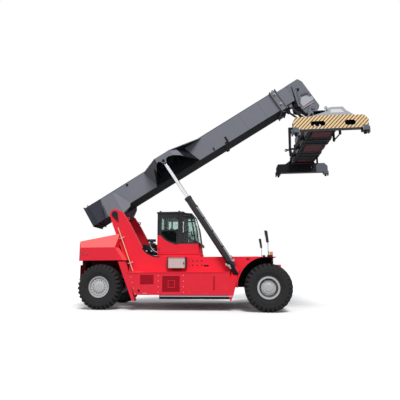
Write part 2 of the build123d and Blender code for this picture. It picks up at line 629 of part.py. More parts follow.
floor_z = cab_floor + cab_wall
seat_x = cab_rear + 400
seat = block(seat_x, seat_x + 450, -220, 220, floor_z, 2350)
seat += block(seat_x - 80, seat_x + 500, -260, 260, 2350, 2520)
seat += side_plate(-240, 240, (seat_x - 80, 2500), (seat_x + 40, 2500), (seat_x - 100, 3150),
                   (seat_x - 200, 3150))
parts["operator_seat"] = seat
wheel_x = cab_rear + 1180
console = side_plate(-120, 120, (wheel_x + 120, floor_z), (wheel_x + 260, floor_z), (wheel_x + 60, 2700),
                     (wheel_x - 20, 2700))
steering = Plane(origin=(wheel_x, 0, 2740), z_dir=(-0.5, 0, 0.87))
console += steering * (Cylinder(200, 26) - Cylinder(172, 30) + Box(30, 360, 14))
console += bar((wheel_x + 20, 0, 2690), (wheel_x - 2, 0, 2742), 40)
parts["control_console"] = console

# ---------------------------------------------------------------- boom

boom = boom_ring(boom_tail, boom_mouth, boom_half, boom_bottom, boom_top,
                 boom_half - boom_wall, boom_bottom + boom_wall, boom_top - boom_wall)
flange = 30
for s in (boom_tail, boom_tail + 180):
    boom += boom_ring(s, s + flange, boom_half + 45, boom_bottom - 45, boom_top + 45,
                      boom_half - 1, boom_bottom + 1, boom_top - 1)
# collar round the mouth: a deep band between two flanges
collar = [(boom_mouth - 1, collar_end, 40)]
collar += [(boom_mouth, boom_mouth + flange, 75), (collar_end - flange, collar_end, 75)]
for s0, s1, proud in collar:
    boom += boom_ring(s0, s1, boom_half + proud, boom_bottom - proud - 20, boom_top + proud - 20,
                      boom_half - boom_wall, boom_bottom + boom_wall, boom_top - boom_wall)
boom += boom_block(boom_tail, boom_tail + 20, -boom_half + 1, boom_half - 1, boom_bottom + 1, boom_top - 1)
# flared cheeks that carry the boom on its pivot pins
cheek_half = body_half - post_thick - clear
cheek = boom_plate(-cheek_half, -boom_half + 1, (-240, 845), (370, 855), (700, 200), (600, 60), (150, -150),
                   (-150, -150), (-320, 200))
plan = Plane(origin=(pivot_x, 0, pivot_z), x_dir=(cos(boom_slope), 0, sin(boom_slope)),
             z_dir=(-sin(boom_slope), 0, cos(boom_slope)))
flare_face = make_face(plan * Polyline((-420, -boom_half + 2), (-380, -cheek_half), (300, -cheek_half),
                                       (720, -boom_half + 2), close=True))
cheek &= extrude(flare_face, amount=1000, dir=plan.z_dir) + extrude(flare_face, amount=-200, dir=plan.z_dir)
cheek += cross_bar(pivot_x, pivot_z, -cheek_half, -boom_half + 1, 150)
boom += both(cheek)
boom -= both(cross_bar(pivot_x, pivot_z, -body_half, -boom_half - 59, pivot_pin_radius + running_fit))
# slide pads at the mouth carry the inner boom
pad_length = 200
pad_n0, pad_n1 = 410, 820        # side pads, up the boom's side
pad_half = 300                   # top and bottom pads, across
side_gap = (-boom_half + boom_wall, -inner_half)
low_gap = (boom_bottom + boom_wall, inner_bottom)
high_gap = (inner_top, boom_top - boom_wall)
pad_s1 = boom_mouth - 30
pad_s0 = pad_s1 - pad_length
boom += both(boom_block(pad_s0, pad_s1, side_gap[0] - 1, side_gap[1] - running_fit, pad_n0, pad_n1))
boom += boom_block(pad_s0, pad_s1, -pad_half, pad_half, low_gap[0] - 1, low_gap[1] - running_fit)
boom += boom_block(pad_s0, pad_s1, -pad_half, pad_half, high_gap[0] + running_fit, high_gap[1] + 1)
parts["boom_outer"] = boom

# yoke: a wing each side of the boom with a deep pocket for the lift cylinder's rod eye
yoke_half = 1300


def wing(y0, y1, inner, outer):
    """Loft between two (s, n) outlines at two values of y."""
    sections = ((y0, inner), (y1, outer))
    return loft([make_face(outline(*[on_boom(s, n) for s, n in points], y=y)) for y, points in sections])


wing_root = [(1803, 1016), (4617, 1016), (4030, 259), (2004, 235)]
wing_tip = [(2496, 970), (3206, 970), (3170, 700), (2480, 730)]
yoke = wing(-boom_half, -yoke_half, wing_root, wing_tip)


def pocket_outline(y):
    """Outline of the pocket in a wing at y: the wing's own, each corner moved by its (s, n) step."""
    share = (-y - boom_half) / (yoke_half - boom_half)
    steps = [(35, -28), (-60, -28), (270, -400), (35, -400)]
    return [(s0 + (s1 - s0) * share + ds, n0 + (n1 - n0) * share + dn)
            for (s0, n0), (s1, n1), (ds, dn) in zip(wing_root, wing_tip, steps)]


pocket_y0, pocket_y1 = -cylinder_y + collar_radius + 2 * clear, -yoke_half + 35
yoke -= wing(pocket_y0, pocket_y1, pocket_outline(pocket_y0), pocket_outline(pocket_y1))
# boss of the rod's pin on the outer plate
yoke += cross_bar(*on_boom(upper_pin_s, upper_pin_n), -yoke_half, pocket_y1, lift_pin_radius + 60)
parts["cylinder_yoke"] = both(yoke)

boom_in = boom_ring(inner_tail, inner_end, inner_half, inner_bottom, inner_top,
                    inner_half - inner_wall, inner_bottom + inner_wall, inner_top - inner_wall)
pad_s0, pad_s1 = inner_tail, inner_tail + pad_length
boom_in += both(boom_block(pad_s0, pad_s1, side_gap[0] + running_fit, side_gap[1] + 1, pad_n0, pad_n1))
boom_in += boom_block(pad_s0, pad_s1, -pad_half, pad_half, low_gap[0] + running_fit, low_gap[1] + 1)
boom_in += boom_block(pad_s0, pad_s1, -pad_half, pad_half, high_gap[0] - 1, high_gap[1] - running_fit)
damper_y = 280
damper_s, damper_n = 8466, 145
damper_pin_radius = 20
lug_thick, lug_gap = 28, 47
lugs_out = lug_gap + lug_thick
for y in (-damper_y, damper_y):
    for y0 in (y - lugs_out, y + lug_gap):
        boom_in += boom_plate(y0, y0 + lug_thick, (damper_s - 90, inner_bottom + 1),
                              (damper_s - 50, damper_n - 50), (damper_s + 50, damper_n - 50),
                              (damper_s + 90, inner_bottom + 1))
damper_x, damper_z = on_boom(damper_s, damper_n)
boom_in += both(cross_bar(damper_x, damper_z, -damper_y - lugs_out, -damper_y + lugs_out,
                          damper_pin_radius))
parts["boom_inner"] = boom_in

head = boom_plate(-inner_half, inner_half, (inner_end, inner_bottom), (inner_end, inner_top + 10),
                  (9335, inner_top + 10), (9430, 790), (9430, -480), (9325, -590), (8800, -467),
                  (8755, -190))
head -= boom_plate(-inner_half + 40, inner_half - 40, (8865, 210), (8865, 910), (9305, 910), (9395, 770),
                   (9395, -700), (8600, -700), (8600, 210))
# triangular look-through in each side, and the rib in front of it
for y0 in (-inner_half - 1, inner_half - 41):
    head -= boom_plate(y0, y0 + 42, (9035, 690), (9175, 590), (9030, 470))
rib = [(8950, 850), (9060, 770), (8760, -110), (8685, -60)]
head += both(boom_plate(-inner_half - 45, -inner_half + 1, *rib))
tilt_x, tilt_pin_z = on_boom(tilt_s, tilt_n)
head += both(cross_bar(tilt_x, tilt_pin_z, -inner_half, -inner_half + 80, 130))
head -= cross_bar(tilt_x, tilt_pin_z, -inner_half - 1, inner_half + 1, tilt_pin_radius + running_fit)
parts["boom_head"] = head

# ---------------------------------------------------------------- spreader

tilt_in = inner_half + clear
tilt_plate = 70
link_z = tilt_pin_z - 560
tilt_disc, ring_disc = 430, 480
ring_z = link_z - 240            # top of the slewing ring
damper_eye = (tilt_x - 250, tilt_pin_z - 340)
tilt = both(side_plate(-tilt_in - tilt_plate, -tilt_in, (tilt_x - 160, tilt_pin_z),
                       ((tilt_x, tilt_pin_z + 160), (tilt_x + 160, tilt_pin_z)),
                       (tilt_x + 260, link_z), (tilt_x - 260, link_z)))
tilt_out = tilt_in + tilt_plate
tilt += block(tilt_x - 360, tilt_x + 300, -tilt_out, tilt_out, link_z - 60, link_z + 40)
tilt += upright(tilt_x, 0, ring_z, link_z - 59, tilt_disc)
tilt += cross_bar(tilt_x, tilt_pin_z, -tilt_out - 20, tilt_out + 20, tilt_pin_radius)
ear_x, ear_top = damper_eye
for y in (-damper_y, damper_y):
    for y0 in (y - lugs_out, y + lug_gap):
        tilt += side_plate(y0, y0 + lug_thick, (ear_x - 100, link_z + 39), (ear_x - 45, ear_top),
                           (ear_x - 20, ear_top + 45), (ear_x + 20, ear_top + 45), (ear_x + 45, ear_top),
                           (ear_x + 60, link_z + 39))
parts["tilt_frame"] = tilt

# rotator: slewing ring, carriage plate and two hooked guides that hold the main frame's rails
plate_z = ring_z - 220
frame_half = 500
beam_top = plate_z - 60
beam_bottom = beam_top - beam_height
seat_z = beam_bottom - seat_drop
hump_top = beam_top - 50          # the gussets pass just below the boom when the spreader turns
guide_rail = 45
carriage_half = 620
guide_z = beam_top - 100         # underside of the frame's rails
rotator = Pos(tilt_x, 0, ring_z - running_fit - 60) * Cylinder(ring_disc, 120)
rotator += block(tilt_x - carriage_half, tilt_x + carriage_half, -carriage_half, carriage_half, plate_z,
                 ring_z - 119)
# each guide: an upright wall, and the hook that reaches in under the rail
for side in (-1, 1):
    for reach, guide_top in ((frame_half + guide_rail + clear, plate_z + 1),
                             (frame_half + clear, guide_z - running_fit)):
        x0, x1 = sorted((tilt_x + side * reach, tilt_x + side * carriage_half))
        rotator += block(x0, x1, -carriage_half, carriage_half, guide_z - 60, guide_top)
parts["rotator"] = rotator

# main frame: two box beams side by side, each the sleeve of one telescopic beam
sleeve_x, sleeve_half, sleeve_wall = 250, 240, 20
sleeve_end = 2700
main = Part()
for side in (-1, 1):
    x = tilt_x + side * sleeve_x
    sleeve = block(x - sleeve_half, x + sleeve_half, -sleeve_end, sleeve_end, beam_bottom, beam_top)
    sleeve -= block(x - sleeve_half + sleeve_wall, x + sleeve_half - sleeve_wall, -sleeve_end - 1,
                    sleeve_end + 1, beam_bottom + sleeve_wall, beam_top - sleeve_wall)
    main += sleeve
    x0, x1 = sorted((tilt_x + side * (frame_half - 11), tilt_x + side * (frame_half + guide_rail)))
    main += block(x0, x1, -sleeve_end, sleeve_end, guide_z, guide_z + 50)
# cross members under the sleeves and between them: middle along Y, half width
for y, half in ((-2600, 60), (-640, 410), (1320, 570), (2600, 60)):
    main += block(tilt_x - frame_half - 30, tilt_x + frame_half + 30, y - half, y + half, beam_bottom - 40,
                  beam_bottom + 1)
    main += block(tilt_x - 20, tilt_x + 20, y - half, y + half, beam_bottom - 40, beam_top - 1)
parts["spreader_frame"] = main

# telescopic beams and end beams: the right one runs in the front sleeve, the left one in the rear
end_y0, end_y1 = 2800, 3050
beam_half_x = sleeve_half - sleeve_wall - clear
beam_z0, beam_z1 = beam_bottom + sleeve_wall + running_fit, beam_top - sleeve_wall - clear
beam_wall = 16
end_half = 1225
lock_x, lock_y = lock_pitch_x / 2, lock_pitch_y / 2
lock_neck, lock_head = 26, (100, 54)
cap_z = seat_z + 530             # top of the end beams' box
slot_z, slot_r = seat_z + 275, 90


def telescope(side):
    """Telescopic beam of one side: -1 is right, +1 is left."""
    x = tilt_x - side * sleeve_x
    tail = sleeve_end - telescope_lap - telescope_reach
    near, far = sorted((side * end_y0, side * tail))
    beam = block(x - beam_half_x, x + beam_half_x, near, far, beam_z0, beam_z1)
    beam -= block(x - beam_half_x + beam_wall, x + beam_half_x - beam_wall, near - 1, far + 1,
                  beam_z0 + beam_wall, beam_z1 - beam_wall)
    return beam


def end_beam(side):
    """End beam with its corner seats, slots and the gusset that ties it to its telescopic beam."""
    y0, y1 = sorted((side * end_y0, side * end_y1))
    x = tilt_x
    beam = side_plate(y0, y1, (x - end_half, seat_z + 90), (x - end_half, cap_z - 150),
                      (x - end_half + 80, cap_z), (x + end_half - 150, cap_z),
                      (x + end_half, cap_z - 150), (x + end_half, seat_z + 90))
    for lock in (-lock_x, lock_x):
        beam += block(x + lock - 95, x + lock + 95, y0, y1, seat_z, seat_z + 100)
        # corner guide outboard of each seat
        gx0, gx1 = sorted((x + lock + copysign(94, lock), x + lock + copysign(140, lock)))
        beam += block(gx0, gx1, y0 + 40, y1 - 40, seat_z - 70, seat_z + 140)
    flip = -side
    hump = [(-680, cap_z - 1), (-60, cap_z + 180), (10, hump_top), (430, hump_top), (520, cap_z + 180),
            (790, cap_z - 1)]
    beam += side_plate(y0, y1, *[(x + flip * px, pz) for px, pz in hump])
    ring_x, ring_z0 = x - flip * 75, cap_z + 235
    beam += cross_bar(ring_x, ring_z0, y0 + 100, y1 - 100, 62) - cross_bar(ring_x, ring_z0, y0, y1, 34)
    hollow = end_half - 250
    beam -= block(x - hollow, x + hollow, y0 + 30, y1 - 30, seat_z + 110, cap_z - 30)
    slot_y = sorted((side * (end_y1 - 40), side * (end_y1 + 1)))
    # oval slots in the outer face, left and right ends from the middle
    for left, right in ((-650, -170), (460, 810)):
        inner_left, inner_right = x + left + slot_r, x + right - slot_r
        beam -= side_plate(*slot_y, (inner_left, slot_z - slot_r), (inner_right, slot_z - slot_r),
                           ((x + right, slot_z), (inner_right, slot_z + slot_r)),
                           (inner_left, slot_z + slot_r),
                           ((x + left, slot_z), (inner_left, slot_z - slot_r)))
    for lock in (-lock_x, lock_x):
        beam -= Pos(x + lock, side * lock_y, seat_z) * Cylinder(lock_neck + running_fit, 400)
    return beam


def twistlocks(side):
    """The two locks of one end: neck, collar above the seat and cone below it."""
    locks = Part()
    for lock in (-lock_x, lock_x):
        at = Pos(tilt_x + lock, side * lock_y, 0)
        locks += at * Pos(0, 0, seat_z + 20) * Cylinder(lock_neck, 120)
        locks += at * Pos(0, 0, seat_z - 60) * Box(*lock_head, 40)
        locks += at * loft([Plane(origin=(0, 0, seat_z - 79)) * Rectangle(*lock_head),
                            Plane(origin=(0, 0, seat_z - 110)) * Rectangle(50, 30)])
    return locks


for side, name in ((-1, "right"), (1, "left")):
    parts[f"telescopic_beam_{name}"] = telescope(side)
    parts[f"end_beam_{name}"] = end_beam(side)
    parts[f"twistlocks_{name}"] = twistlocks(side)

# ---------------------------------------------------------------- cylinders

upper_pin = on_boom(upper_pin_s, upper_pin_n)
lift_rest = hypot(upper_pin[0] - lower_pin_x, upper_pin[1] - lower_pin_z)
lift_dir = ((upper_pin[0] - lower_pin_x) / lift_rest, (upper_pin[1] - lower_pin_z) / lift_rest)
rod_length = 3300
bore_start = 180


def along(start, direction, distance, y):
    return (start[0] + direction[0] * distance, y, start[1] + direction[1] * distance)


def lift_at(distance):
    return along((lower_pin_x, lower_pin_z), lift_dir, distance, -cylinder_y)


barrel = bar(lift_at(150), lift_at(barrel_length), barrel_radius)
barrel += bar(lift_at(50), lift_at(151), eye_half - 2)
barrel += bar(lift_at(barrel_length - 90), lift_at(barrel_length), collar_radius)
barrel += cross_bar(lower_pin_x, lower_pin_z, -cylinder_y - eye_half, -cylinder_y + eye_half, eye_radius)
barrel -= cross_bar(lower_pin_x, lower_pin_z, -cylinder_y - eye_half - 1, -cylinder_y + eye_half + 1,
                    lift_pin_radius + running_fit)
barrel -= bar(lift_at(bore_start), lift_at(barrel_length + 1), rod_radius + running_fit)
parts["lift_barrels"] = both(barrel)
rod = bar(lift_at(lift_rest), lift_at(lift_rest - rod_length), rod_radius)
rod += cross_bar(*upper_pin, -cylinder_y - eye_half, -cylinder_y + eye_half, eye_radius)
rod += cross_bar(*upper_pin, -cylinder_y - eye_half - 60, -cylinder_y + eye_half + 25, lift_pin_radius)
parts["lift_rods"] = both(rod)

damper_rest = hypot(damper_eye[0] - damper_x, damper_eye[1] - damper_z)
damper_dir = ((damper_eye[0] - damper_x) / damper_rest, (damper_eye[1] - damper_z) / damper_rest)


def damper_at(distance, y):
    return along((damper_x, damper_z), damper_dir, distance, y)


damper_radius, damper_rod_radius = 42, 24
damper_barrel_length, damper_rod_length = 530, 510
sleeves = Part()
rods = Part()
for y in (-damper_y, damper_y):
    sleeves += bar(damper_at(40, y), damper_at(damper_barrel_length, y), damper_radius)
    sleeves += cross_bar(damper_x, damper_z, y - 45, y + 45, 45)
    sleeves -= cross_bar(damper_x, damper_z, y - 46, y + 46, damper_pin_radius + running_fit)
    sleeves -= bar(damper_at(65, y), damper_at(damper_barrel_length + 1, y),
                   damper_rod_radius + running_fit)
    rods += bar(damper_at(damper_rest, y), damper_at(damper_rest - damper_rod_length, y), damper_rod_radius)
    rods += cross_bar(*damper_eye, y - 42, y + 42, 40)
parts["damper_barrels"] = sleeves
parts["damper_rods"] = rods

# ---------------------------------------------------------------- output

boxes = [shape.bounding_box() for shape in parts.values()]
shift_x = -(min(b.min.X for b in boxes) + max(b.max.X for b in boxes)) / 2
os.makedirs("parts", exist_ok=True)
for name, shape in parts.items():
    export_step(Pos(shift_x, 0, 0) * shape, f"parts/{name}.step")
print(f"{len(parts)} parts, moved {shift_x:.1f} mm along X")
print(f"lift cylinder {lift_rest:.1f} mm pin to pin, damper {damper_rest:.1f} mm")
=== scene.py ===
import json
import math
import bmesh
import bpy
from mathutils import Matrix, Vector


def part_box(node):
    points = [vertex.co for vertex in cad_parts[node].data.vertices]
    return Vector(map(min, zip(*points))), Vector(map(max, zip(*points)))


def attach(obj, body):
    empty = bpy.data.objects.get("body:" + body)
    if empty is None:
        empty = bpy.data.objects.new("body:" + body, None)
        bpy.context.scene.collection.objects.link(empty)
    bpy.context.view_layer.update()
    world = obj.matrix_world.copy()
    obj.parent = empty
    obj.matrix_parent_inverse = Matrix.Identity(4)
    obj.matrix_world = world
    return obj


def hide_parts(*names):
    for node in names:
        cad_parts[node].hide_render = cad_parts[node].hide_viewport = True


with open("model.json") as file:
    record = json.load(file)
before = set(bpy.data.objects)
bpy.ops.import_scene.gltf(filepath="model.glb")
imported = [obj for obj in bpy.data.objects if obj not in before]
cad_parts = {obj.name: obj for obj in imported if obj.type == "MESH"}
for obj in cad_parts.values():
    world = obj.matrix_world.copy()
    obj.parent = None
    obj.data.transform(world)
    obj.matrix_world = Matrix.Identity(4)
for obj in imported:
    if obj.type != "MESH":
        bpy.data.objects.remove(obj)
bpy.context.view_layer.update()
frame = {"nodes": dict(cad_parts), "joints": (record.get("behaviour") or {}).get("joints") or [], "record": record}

print("frame loaded")

# shader maths: an expression on sockets adds its nodes


def both(operation):
    # an operator and its reflection
    return (lambda self, other: self.calc(operation, self, other),
            lambda self, other: self.calc(operation, other, self))


class Sock:
    def __init__(self, paint, out):
        self.paint, self.out = paint, out

    def calc(self, operation, first, second=0.0):
        return self.paint.node("ShaderNodeMath", {"operation": operation}, {0: first, 1: second, 2: 0.0})

    __add__, __radd__ = both("ADD")
    __sub__, __rsub__ = both("SUBTRACT")
    __mul__, __rmul__ = both("MULTIPLY")
    __truediv__ = both("DIVIDE")[0]
    __gt__ = both("GREATER_THAN")[0]
    __lt__ = both("LESS_THAN")[0]
    __mod__ = both("FLOORED_MODULO")[0]


class Paint:
    # one material: node() makes any node from its type, its settings and its inputs
    def __init__(self, name):
        self.material = bpy.data.materials.new(name)
        self.material.use_nodes = True
        self.tree = self.material.node_tree
        self.shader = self.tree.nodes["Principled BSDF"]

    def node(self, kind, settings, values, output=0):
        made = self.tree.nodes.new(kind)
        for key, value in settings.items():
            setattr(made, key, value)
        for key, value in values.items():
            self.feed(made.inputs[key], value)
        return Sock(self, made.outputs[output])

    def feed(self, socket, value):
        if isinstance(value, Sock):
            self.tree.links.new(value.out, socket)
        elif socket.type == "RGBA" and len(value) == 3:
            socket.default_value = (*value, 1)
        else:
            socket.default_value = value

    def set(self, **values):
        for key, value in values.items():
            self.feed(self.shader.inputs[key.replace("_", " ")], value)

    def place(self):
        return self.node("ShaderNodeTexCoord", {}, {}, "Object")

    def axis(self, letter):
        return self.node("ShaderNodeSeparateXYZ", {}, {0: self.place()}, letter)

    def wide(self):
        return self.axis("Y").calc("ABSOLUTE", self.axis("Y"))

    def facing(self, letter):
        normal = self.node("ShaderNodeTexCoord", {}, {}, "Normal")
        return self.node("ShaderNodeSeparateXYZ", {}, {0: normal}, letter)

    def noise(self, scale, detail=4.0, stretch=(1, 1, 1)):
        spread = self.node("ShaderNodeMapping", {}, {"Vector": self.place(), "Scale": stretch})
        facts = {"Vector": spread, "Scale": scale, "Detail": detail, "Roughness": 0.55}
        return self.node("ShaderNodeTexNoise", {}, facts, "Fac")

    def ramp(self, factor, low, high):
        # 0 at low, 1 at high
        return self.node("ShaderNodeMapRange", {"clamp": True}, {0: factor, 1: low, 2: high})

    def mix(self, factor, first, second):
        return self.node("ShaderNodeMix", {"data_type": "RGBA"}, {"Factor": factor, 6: first, 7: second}, 2)

    def bump(self, height, distance, strength=1.0):
        facts = {"Height": height, "Distance": distance, "Strength": strength}
        normal = self.node("ShaderNodeBump", {}, facts)
        self.feed(self.shader.inputs["Normal"], normal)


# places on the machine
joints = {joint["name"]: joint for joint in frame["joints"]}


def middle(node):
    low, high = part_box(node)
    return (Vector(low) + Vector(high)) / 2


frontAxle, rearAxle = middle("rim_front_right"), middle("rim_rear_right")
boomPivot = Vector(joints["boom_lift"]["pos_m"])
boomAlong = -Vector(joints["boom_extend"]["axis"]).normalized()
boomUp = Vector((-boomAlong.z, 0, boomAlong.x))
tiltPin = Vector(joints["spreader_tilt"]["pos_m"])


def spot(x, y, z):
    # x is measured forward from the front axle
    return Vector((frontAxle.x + x, y, z))


def onBoom(s, n, y):
    # s along the boom from its pivot, n square to it
    return boomPivot + s * boomAlong + n * boomUp + Vector((0, y, 0))


def onSide(y, *outline):
    # corners in x and z on a plane of one y
    return [spot(x, y, z) for x, z in outline]


def onBoomSide(y, *outline):
    return [onBoom(s, n, y) for s, n in outline]


def turns(count, start=0.0):
    return [2 * math.pi * (index + start) / count for index in range(count)]


def around(turn, radius):
    # offset in the x-z plane
    return Vector((radius * math.cos(turn), 0, radius * math.sin(turn)))


right, left, up = Vector((0, -1, 0)), Vector((0, 1, 0)), Vector((0, 0, 1))
sides = (("right", -1), ("left", 1))


# closed solids are gathered here until make() turns them into one piece
solids = {"points": [], "faces": []}


def put(name, data):
    made = bpy.data.objects.new(name, data)
    bpy.context.scene.collection.objects.link(made)
    return made


def add(points, faces):
    first = len(solids["points"])
    solids["points"] += [Vector(p) for p in points]
    solids["faces"] += [[first + index for index in face] for face in faces]


def prism(outline, depth):
    count = len(outline)
    far = [Vector(p) + Vector(depth) for p in outline]
    sides = [[i, (i + 1) % count, count + (i + 1) % count, count + i] for i in range(count)]
    add([*outline, *far], [list(range(count)), list(range(count, 2 * count)), *sides])


def slab(centre, size, along=(1, 0, 0), up=(0, 0, 1)):
    # block with its length along one direction and its height along another
    along, up = Vector(along).normalized(), Vector(up).normalized()
    across = up.cross(along)
    corner = Vector(centre) - along * size[0] / 2 - across * size[1] / 2 - up * size[2] / 2
    ring = [corner, corner + along * size[0], corner + along * size[0] + across * size[1],
            corner + across * size[1]]
    prism(ring, up * size[2])


def rings(rows, steps, closed=False):
    # faces between the rows of a turned or swept form, with its two ends unless it is closed
    faces = []
    for row in range(rows if closed else rows - 1):
        for step in range(steps):
            a, b, following = row * steps, (row + 1) % rows * steps, (step + 1) % steps
            faces.append([a + step, a + following, b + following, b + step])
    if not closed:
        faces += [list(range(steps)), list(range((rows - 1) * steps, rows * steps))]
    return faces


def lathe(centre, axis, profile, steps=32, closed=False):
    # profile is (distance along the axis, radius); closed joins its last point to its first
    axis = Vector(axis).normalized()
    side = axis.orthogonal().normalized()
    other = axis.cross(side)
    points = [Vector(centre) + axis * along + (side * math.cos(turn) + other * math.sin(turn)) * radius
              for along, radius in profile for turn in turns(steps)]
    add(points, rings(len(profile), steps, closed))


def rod(start, end, radius, steps=12, chamfer=0.0):
    line = Vector(end) - Vector(start)
    profile = [(0, radius), (line.length, radius)]
    if chamfer:
        profile = [(0, radius - chamfer), (chamfer, radius), (line.length - chamfer, radius),
                   (line.length, radius - chamfer)]
    lathe(start, line, profile, steps)


def pipe(corners, radius, bend=0.06):
    # straight runs joined by round bends
    corners = [Vector(c) for c in corners]
    path = [corners[0]]
    for before, here, after in zip(corners, corners[1:], corners[2:]):
        inward, outward = (before - here), (after - here)
        reach = min(bend, inward.length * 0.45, outward.length * 0.45)
        start, end = here + inward.normalized() * reach, here + outward.normalized() * reach
        path += [(1 - t) ** 2 * start + 2 * t * (1 - t) * here + t * t * end for t in (0, 0.25, 0.5, 0.75, 1)]
    path.append(corners[-1])
    sweep(path, radius)


def sweep(path, radius, steps=8):
    points = []
    normal = (path[1] - path[0]).orthogonal().normalized()
    for index, here in enumerate(path):
        tangent = (path[min(index + 1, len(path) - 1)] - path[max(index - 1, 0)]).normalized()
        normal = (normal - tangent * normal.dot(tangent)).normalized()
        other = tangent.cross(normal)
        points += [here + (normal * math.cos(turn) + other * math.sin(turn)) * radius
                   for turn in turns(steps)]
    add(points, rings(len(path), steps))


def bolt(head, direction, size):
    # washer and six-sided head standing on a surface
    direction = Vector(direction).normalized()
    lathe(head, direction, [(-0.002, size * 1.25), (size * 0.18, size * 1.25)], 12)
    lathe(head, direction, [(0, size), (size * 0.8, size), (size * 0.95, size * 0.82)], 6)


def eye(centre, half, outer, inner, steps=20):
    # ring standing in the x-z plane
    lathe(centre, left, [(-half, outer), (half, outer), (half, inner), (-half, inner)], steps, closed=True)


def strip(start, end, width, depth, more=0.0):
    # flat bar in the x-z plane from one point to another
    line = end - start
    slab((start + end) / 2, (line.length + more, depth, width), line, left.cross(line))


def grip(foot, rise, run, radius, bend):
    # pipe out from a foot, along and back
    rise, run = Vector(rise), Vector(run)
    pipe([foot, foot + rise, foot + rise + run, foot + run], radius, bend)


def bothSides():
    # what was gathered on the right is gathered on the left too
    add([(p.x, -p.y, p.z) for p in solids["points"]], solids["faces"][:])


def make(name, body, slot, paint=None, edge=0.0, smooth=35):
    # what was gathered becomes one piece on a body, and the gathering starts again
    data = bpy.data.meshes.new(name)
    data.from_pydata(solids["points"], [], solids["faces"])
    solids.update(points=[], faces=[])
    work = bmesh.new()
    work.from_mesh(data)
    bmesh.ops.remove_doubles(work, verts=work.verts, dist=0.00005)
    bmesh.ops.recalc_face_normals(work, faces=work.faces)
    work.to_mesh(data)
    work.free()
    data.polygons.foreach_set("use_smooth", [True] * len(data.polygons))
    data.set_sharp_from_angle(angle=math.radians(smooth))
    piece = put(name, data)
    data.materials.append(finish[paint or slot].material)
    if edge:
        rounding = piece.modifiers.new("edges", "BEVEL")
        rounding.width, rounding.segments, rounding.limit_method = edge, 2, "ANGLE"
        rounding.angle_limit = math.radians(40)
        rounding.harden_normals = True
    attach(piece, body)
    return piece


def makeBoth(*facts, **options):
    bothSides()
    return make(*facts, **options)



# camera, floor and light
view = {"fromAxle": -0.963, "aside": -15.144, "height": 1.552, "turn": 5.891, "rise": 9.539, "roll": -0.272,
        "lens": 33.25, "shift": (-0.00275, 0.0118)}


def makeCamera():
    data = bpy.data.cameras.new("camera")
    data.lens = view["lens"]
    data.sensor_width = 36
    data.shift_x, data.shift_y = view["shift"]
    data.clip_end = 400
    camera = put("camera", data)
    camera.matrix_world = (Matrix.Translation(spot(view["fromAxle"], view["aside"], view["height"]))
                           @ Matrix.Rotation(math.radians(view["turn"]), 4, "Z")
                           @ Matrix.Rotation(math.radians(90 + view["rise"]), 4, "X")
                           @ Matrix.Rotation(math.radians(view["roll"]), 4, "Z"))
    bpy.context.scene.camera = camera


studio = {"floorColour": (0.88, 0.88, 0.88), "floorBounce": (0.2, 0.2, 0.2), "sky": 0.5, "sun": 2.9,
          "sunTurn": (33, 0, 18), "sunSpread": 20, "fill": 0.4, "fillTurn": (68, 0, -35)}


def seenDirectly(tree):
    # 1 where the camera, a reflection or a pane looks, 0 for light that only bounces
    path = tree.nodes.new("ShaderNodeLightPath")
    total = path.outputs["Is Camera Ray"]
    for ray in ("Is Transmission Ray", "Is Glossy Ray"):
        most = tree.nodes.new("ShaderNodeMath")
        most.operation = "MAXIMUM"
        tree.links.new(total, most.inputs[0])
        tree.links.new(path.outputs[ray], most.inputs[1])
        total = most.outputs[0]
    return total


def makeStudio():
    data = bpy.data.meshes.new("floor")
    half = 120
    data.from_pydata([(-half, -half, 0), (half, -half, 0), (half, half, 0), (-half, half, 0)], [],
                     [(0, 1, 2, 3)])
    floor = put("floor", data)
    paint = Paint("floorPaint")
    seen = Sock(paint, seenDirectly(paint.tree))
    paint.set(Base_Color=paint.mix(seen, studio["floorBounce"], studio["floorColour"]), Roughness=0.9)
    data.materials.append(paint.material)
    for name, strength, turn in (("sun", studio["sun"], studio["sunTurn"]),
                                 ("fill", studio["fill"], studio["fillTurn"])):
        lamp = bpy.data.lights.new(name, "SUN")
        lamp.energy = strength
        lamp.angle = math.radians(studio["sunSpread"])
        put(name, lamp).rotation_euler = [math.radians(a) for a in turn]
    world = bpy.data.worlds.new("studio")
    bpy.context.scene.world = world
    world.use_nodes = True
    tree = world.node_tree
    tree.nodes.clear()
    light, backdrop = tree.nodes.new("ShaderNodeBackground"), tree.nodes.new("ShaderNodeBackground")
    light.inputs["Color"].default_value = (0.93, 0.96, 1, 1)
    light.inputs["Strength"].default_value = studio["sky"]
    backdrop.inputs["Color"].default_value = (1, 1, 1, 1)
    blend = tree.nodes.new("ShaderNodeMixShader")
    tree.links.new(seenDirectly(tree), blend.inputs[0])
    tree.links.new(light.outputs[0], blend.inputs[1])
    tree.links.new(backdrop.outputs[0], blend.inputs[2])
    output = tree.nodes.new("ShaderNodeOutputWorld")
    tree.links.new(blend.outputs[0], output.inputs[0])


# finishes
# some of these colours are painted shade and one is a painted sky reflection; the paints below say where
coat = {"red": (0.79, 0.03, 0.052), "boom": (0.185, 0.19, 0.22), "head": (0.13, 0.14, 0.165),
        "dark": (0.013, 0.014, 0.017), "cream": (0.9, 0.66, 0.36), "stripe": (0.15, 0.075, 0.04),
        "silver": (0.44, 0.445, 0.45), "beige": (0.7, 0.54, 0.36), "cabinet": (0.5, 0.48, 0.46),
        "under": (0.006, 0.006, 0.007), "cab": (0.019, 0.02, 0.023), "dust": (0.35, 0.3, 0.25),
        "amber": (0.85, 0.22, 0.03),
        "frame": (0.014, 0.014, 0.018), "shadedRed": (0.055, 0.003, 0.008), "pale": (0.42, 0.43, 0.46),
        "recessShade": (0.3, 0.006, 0.014), "arch": (0.09, 0.005, 0.011), "tail": (0.04, 0.044, 0.058),
        "skyReflectionRed": (0.92, 0.22, 0.2), "lampRed": (0.45, 0.01, 0.012), "lampWhite": (0.72, 0.73, 0.74)}


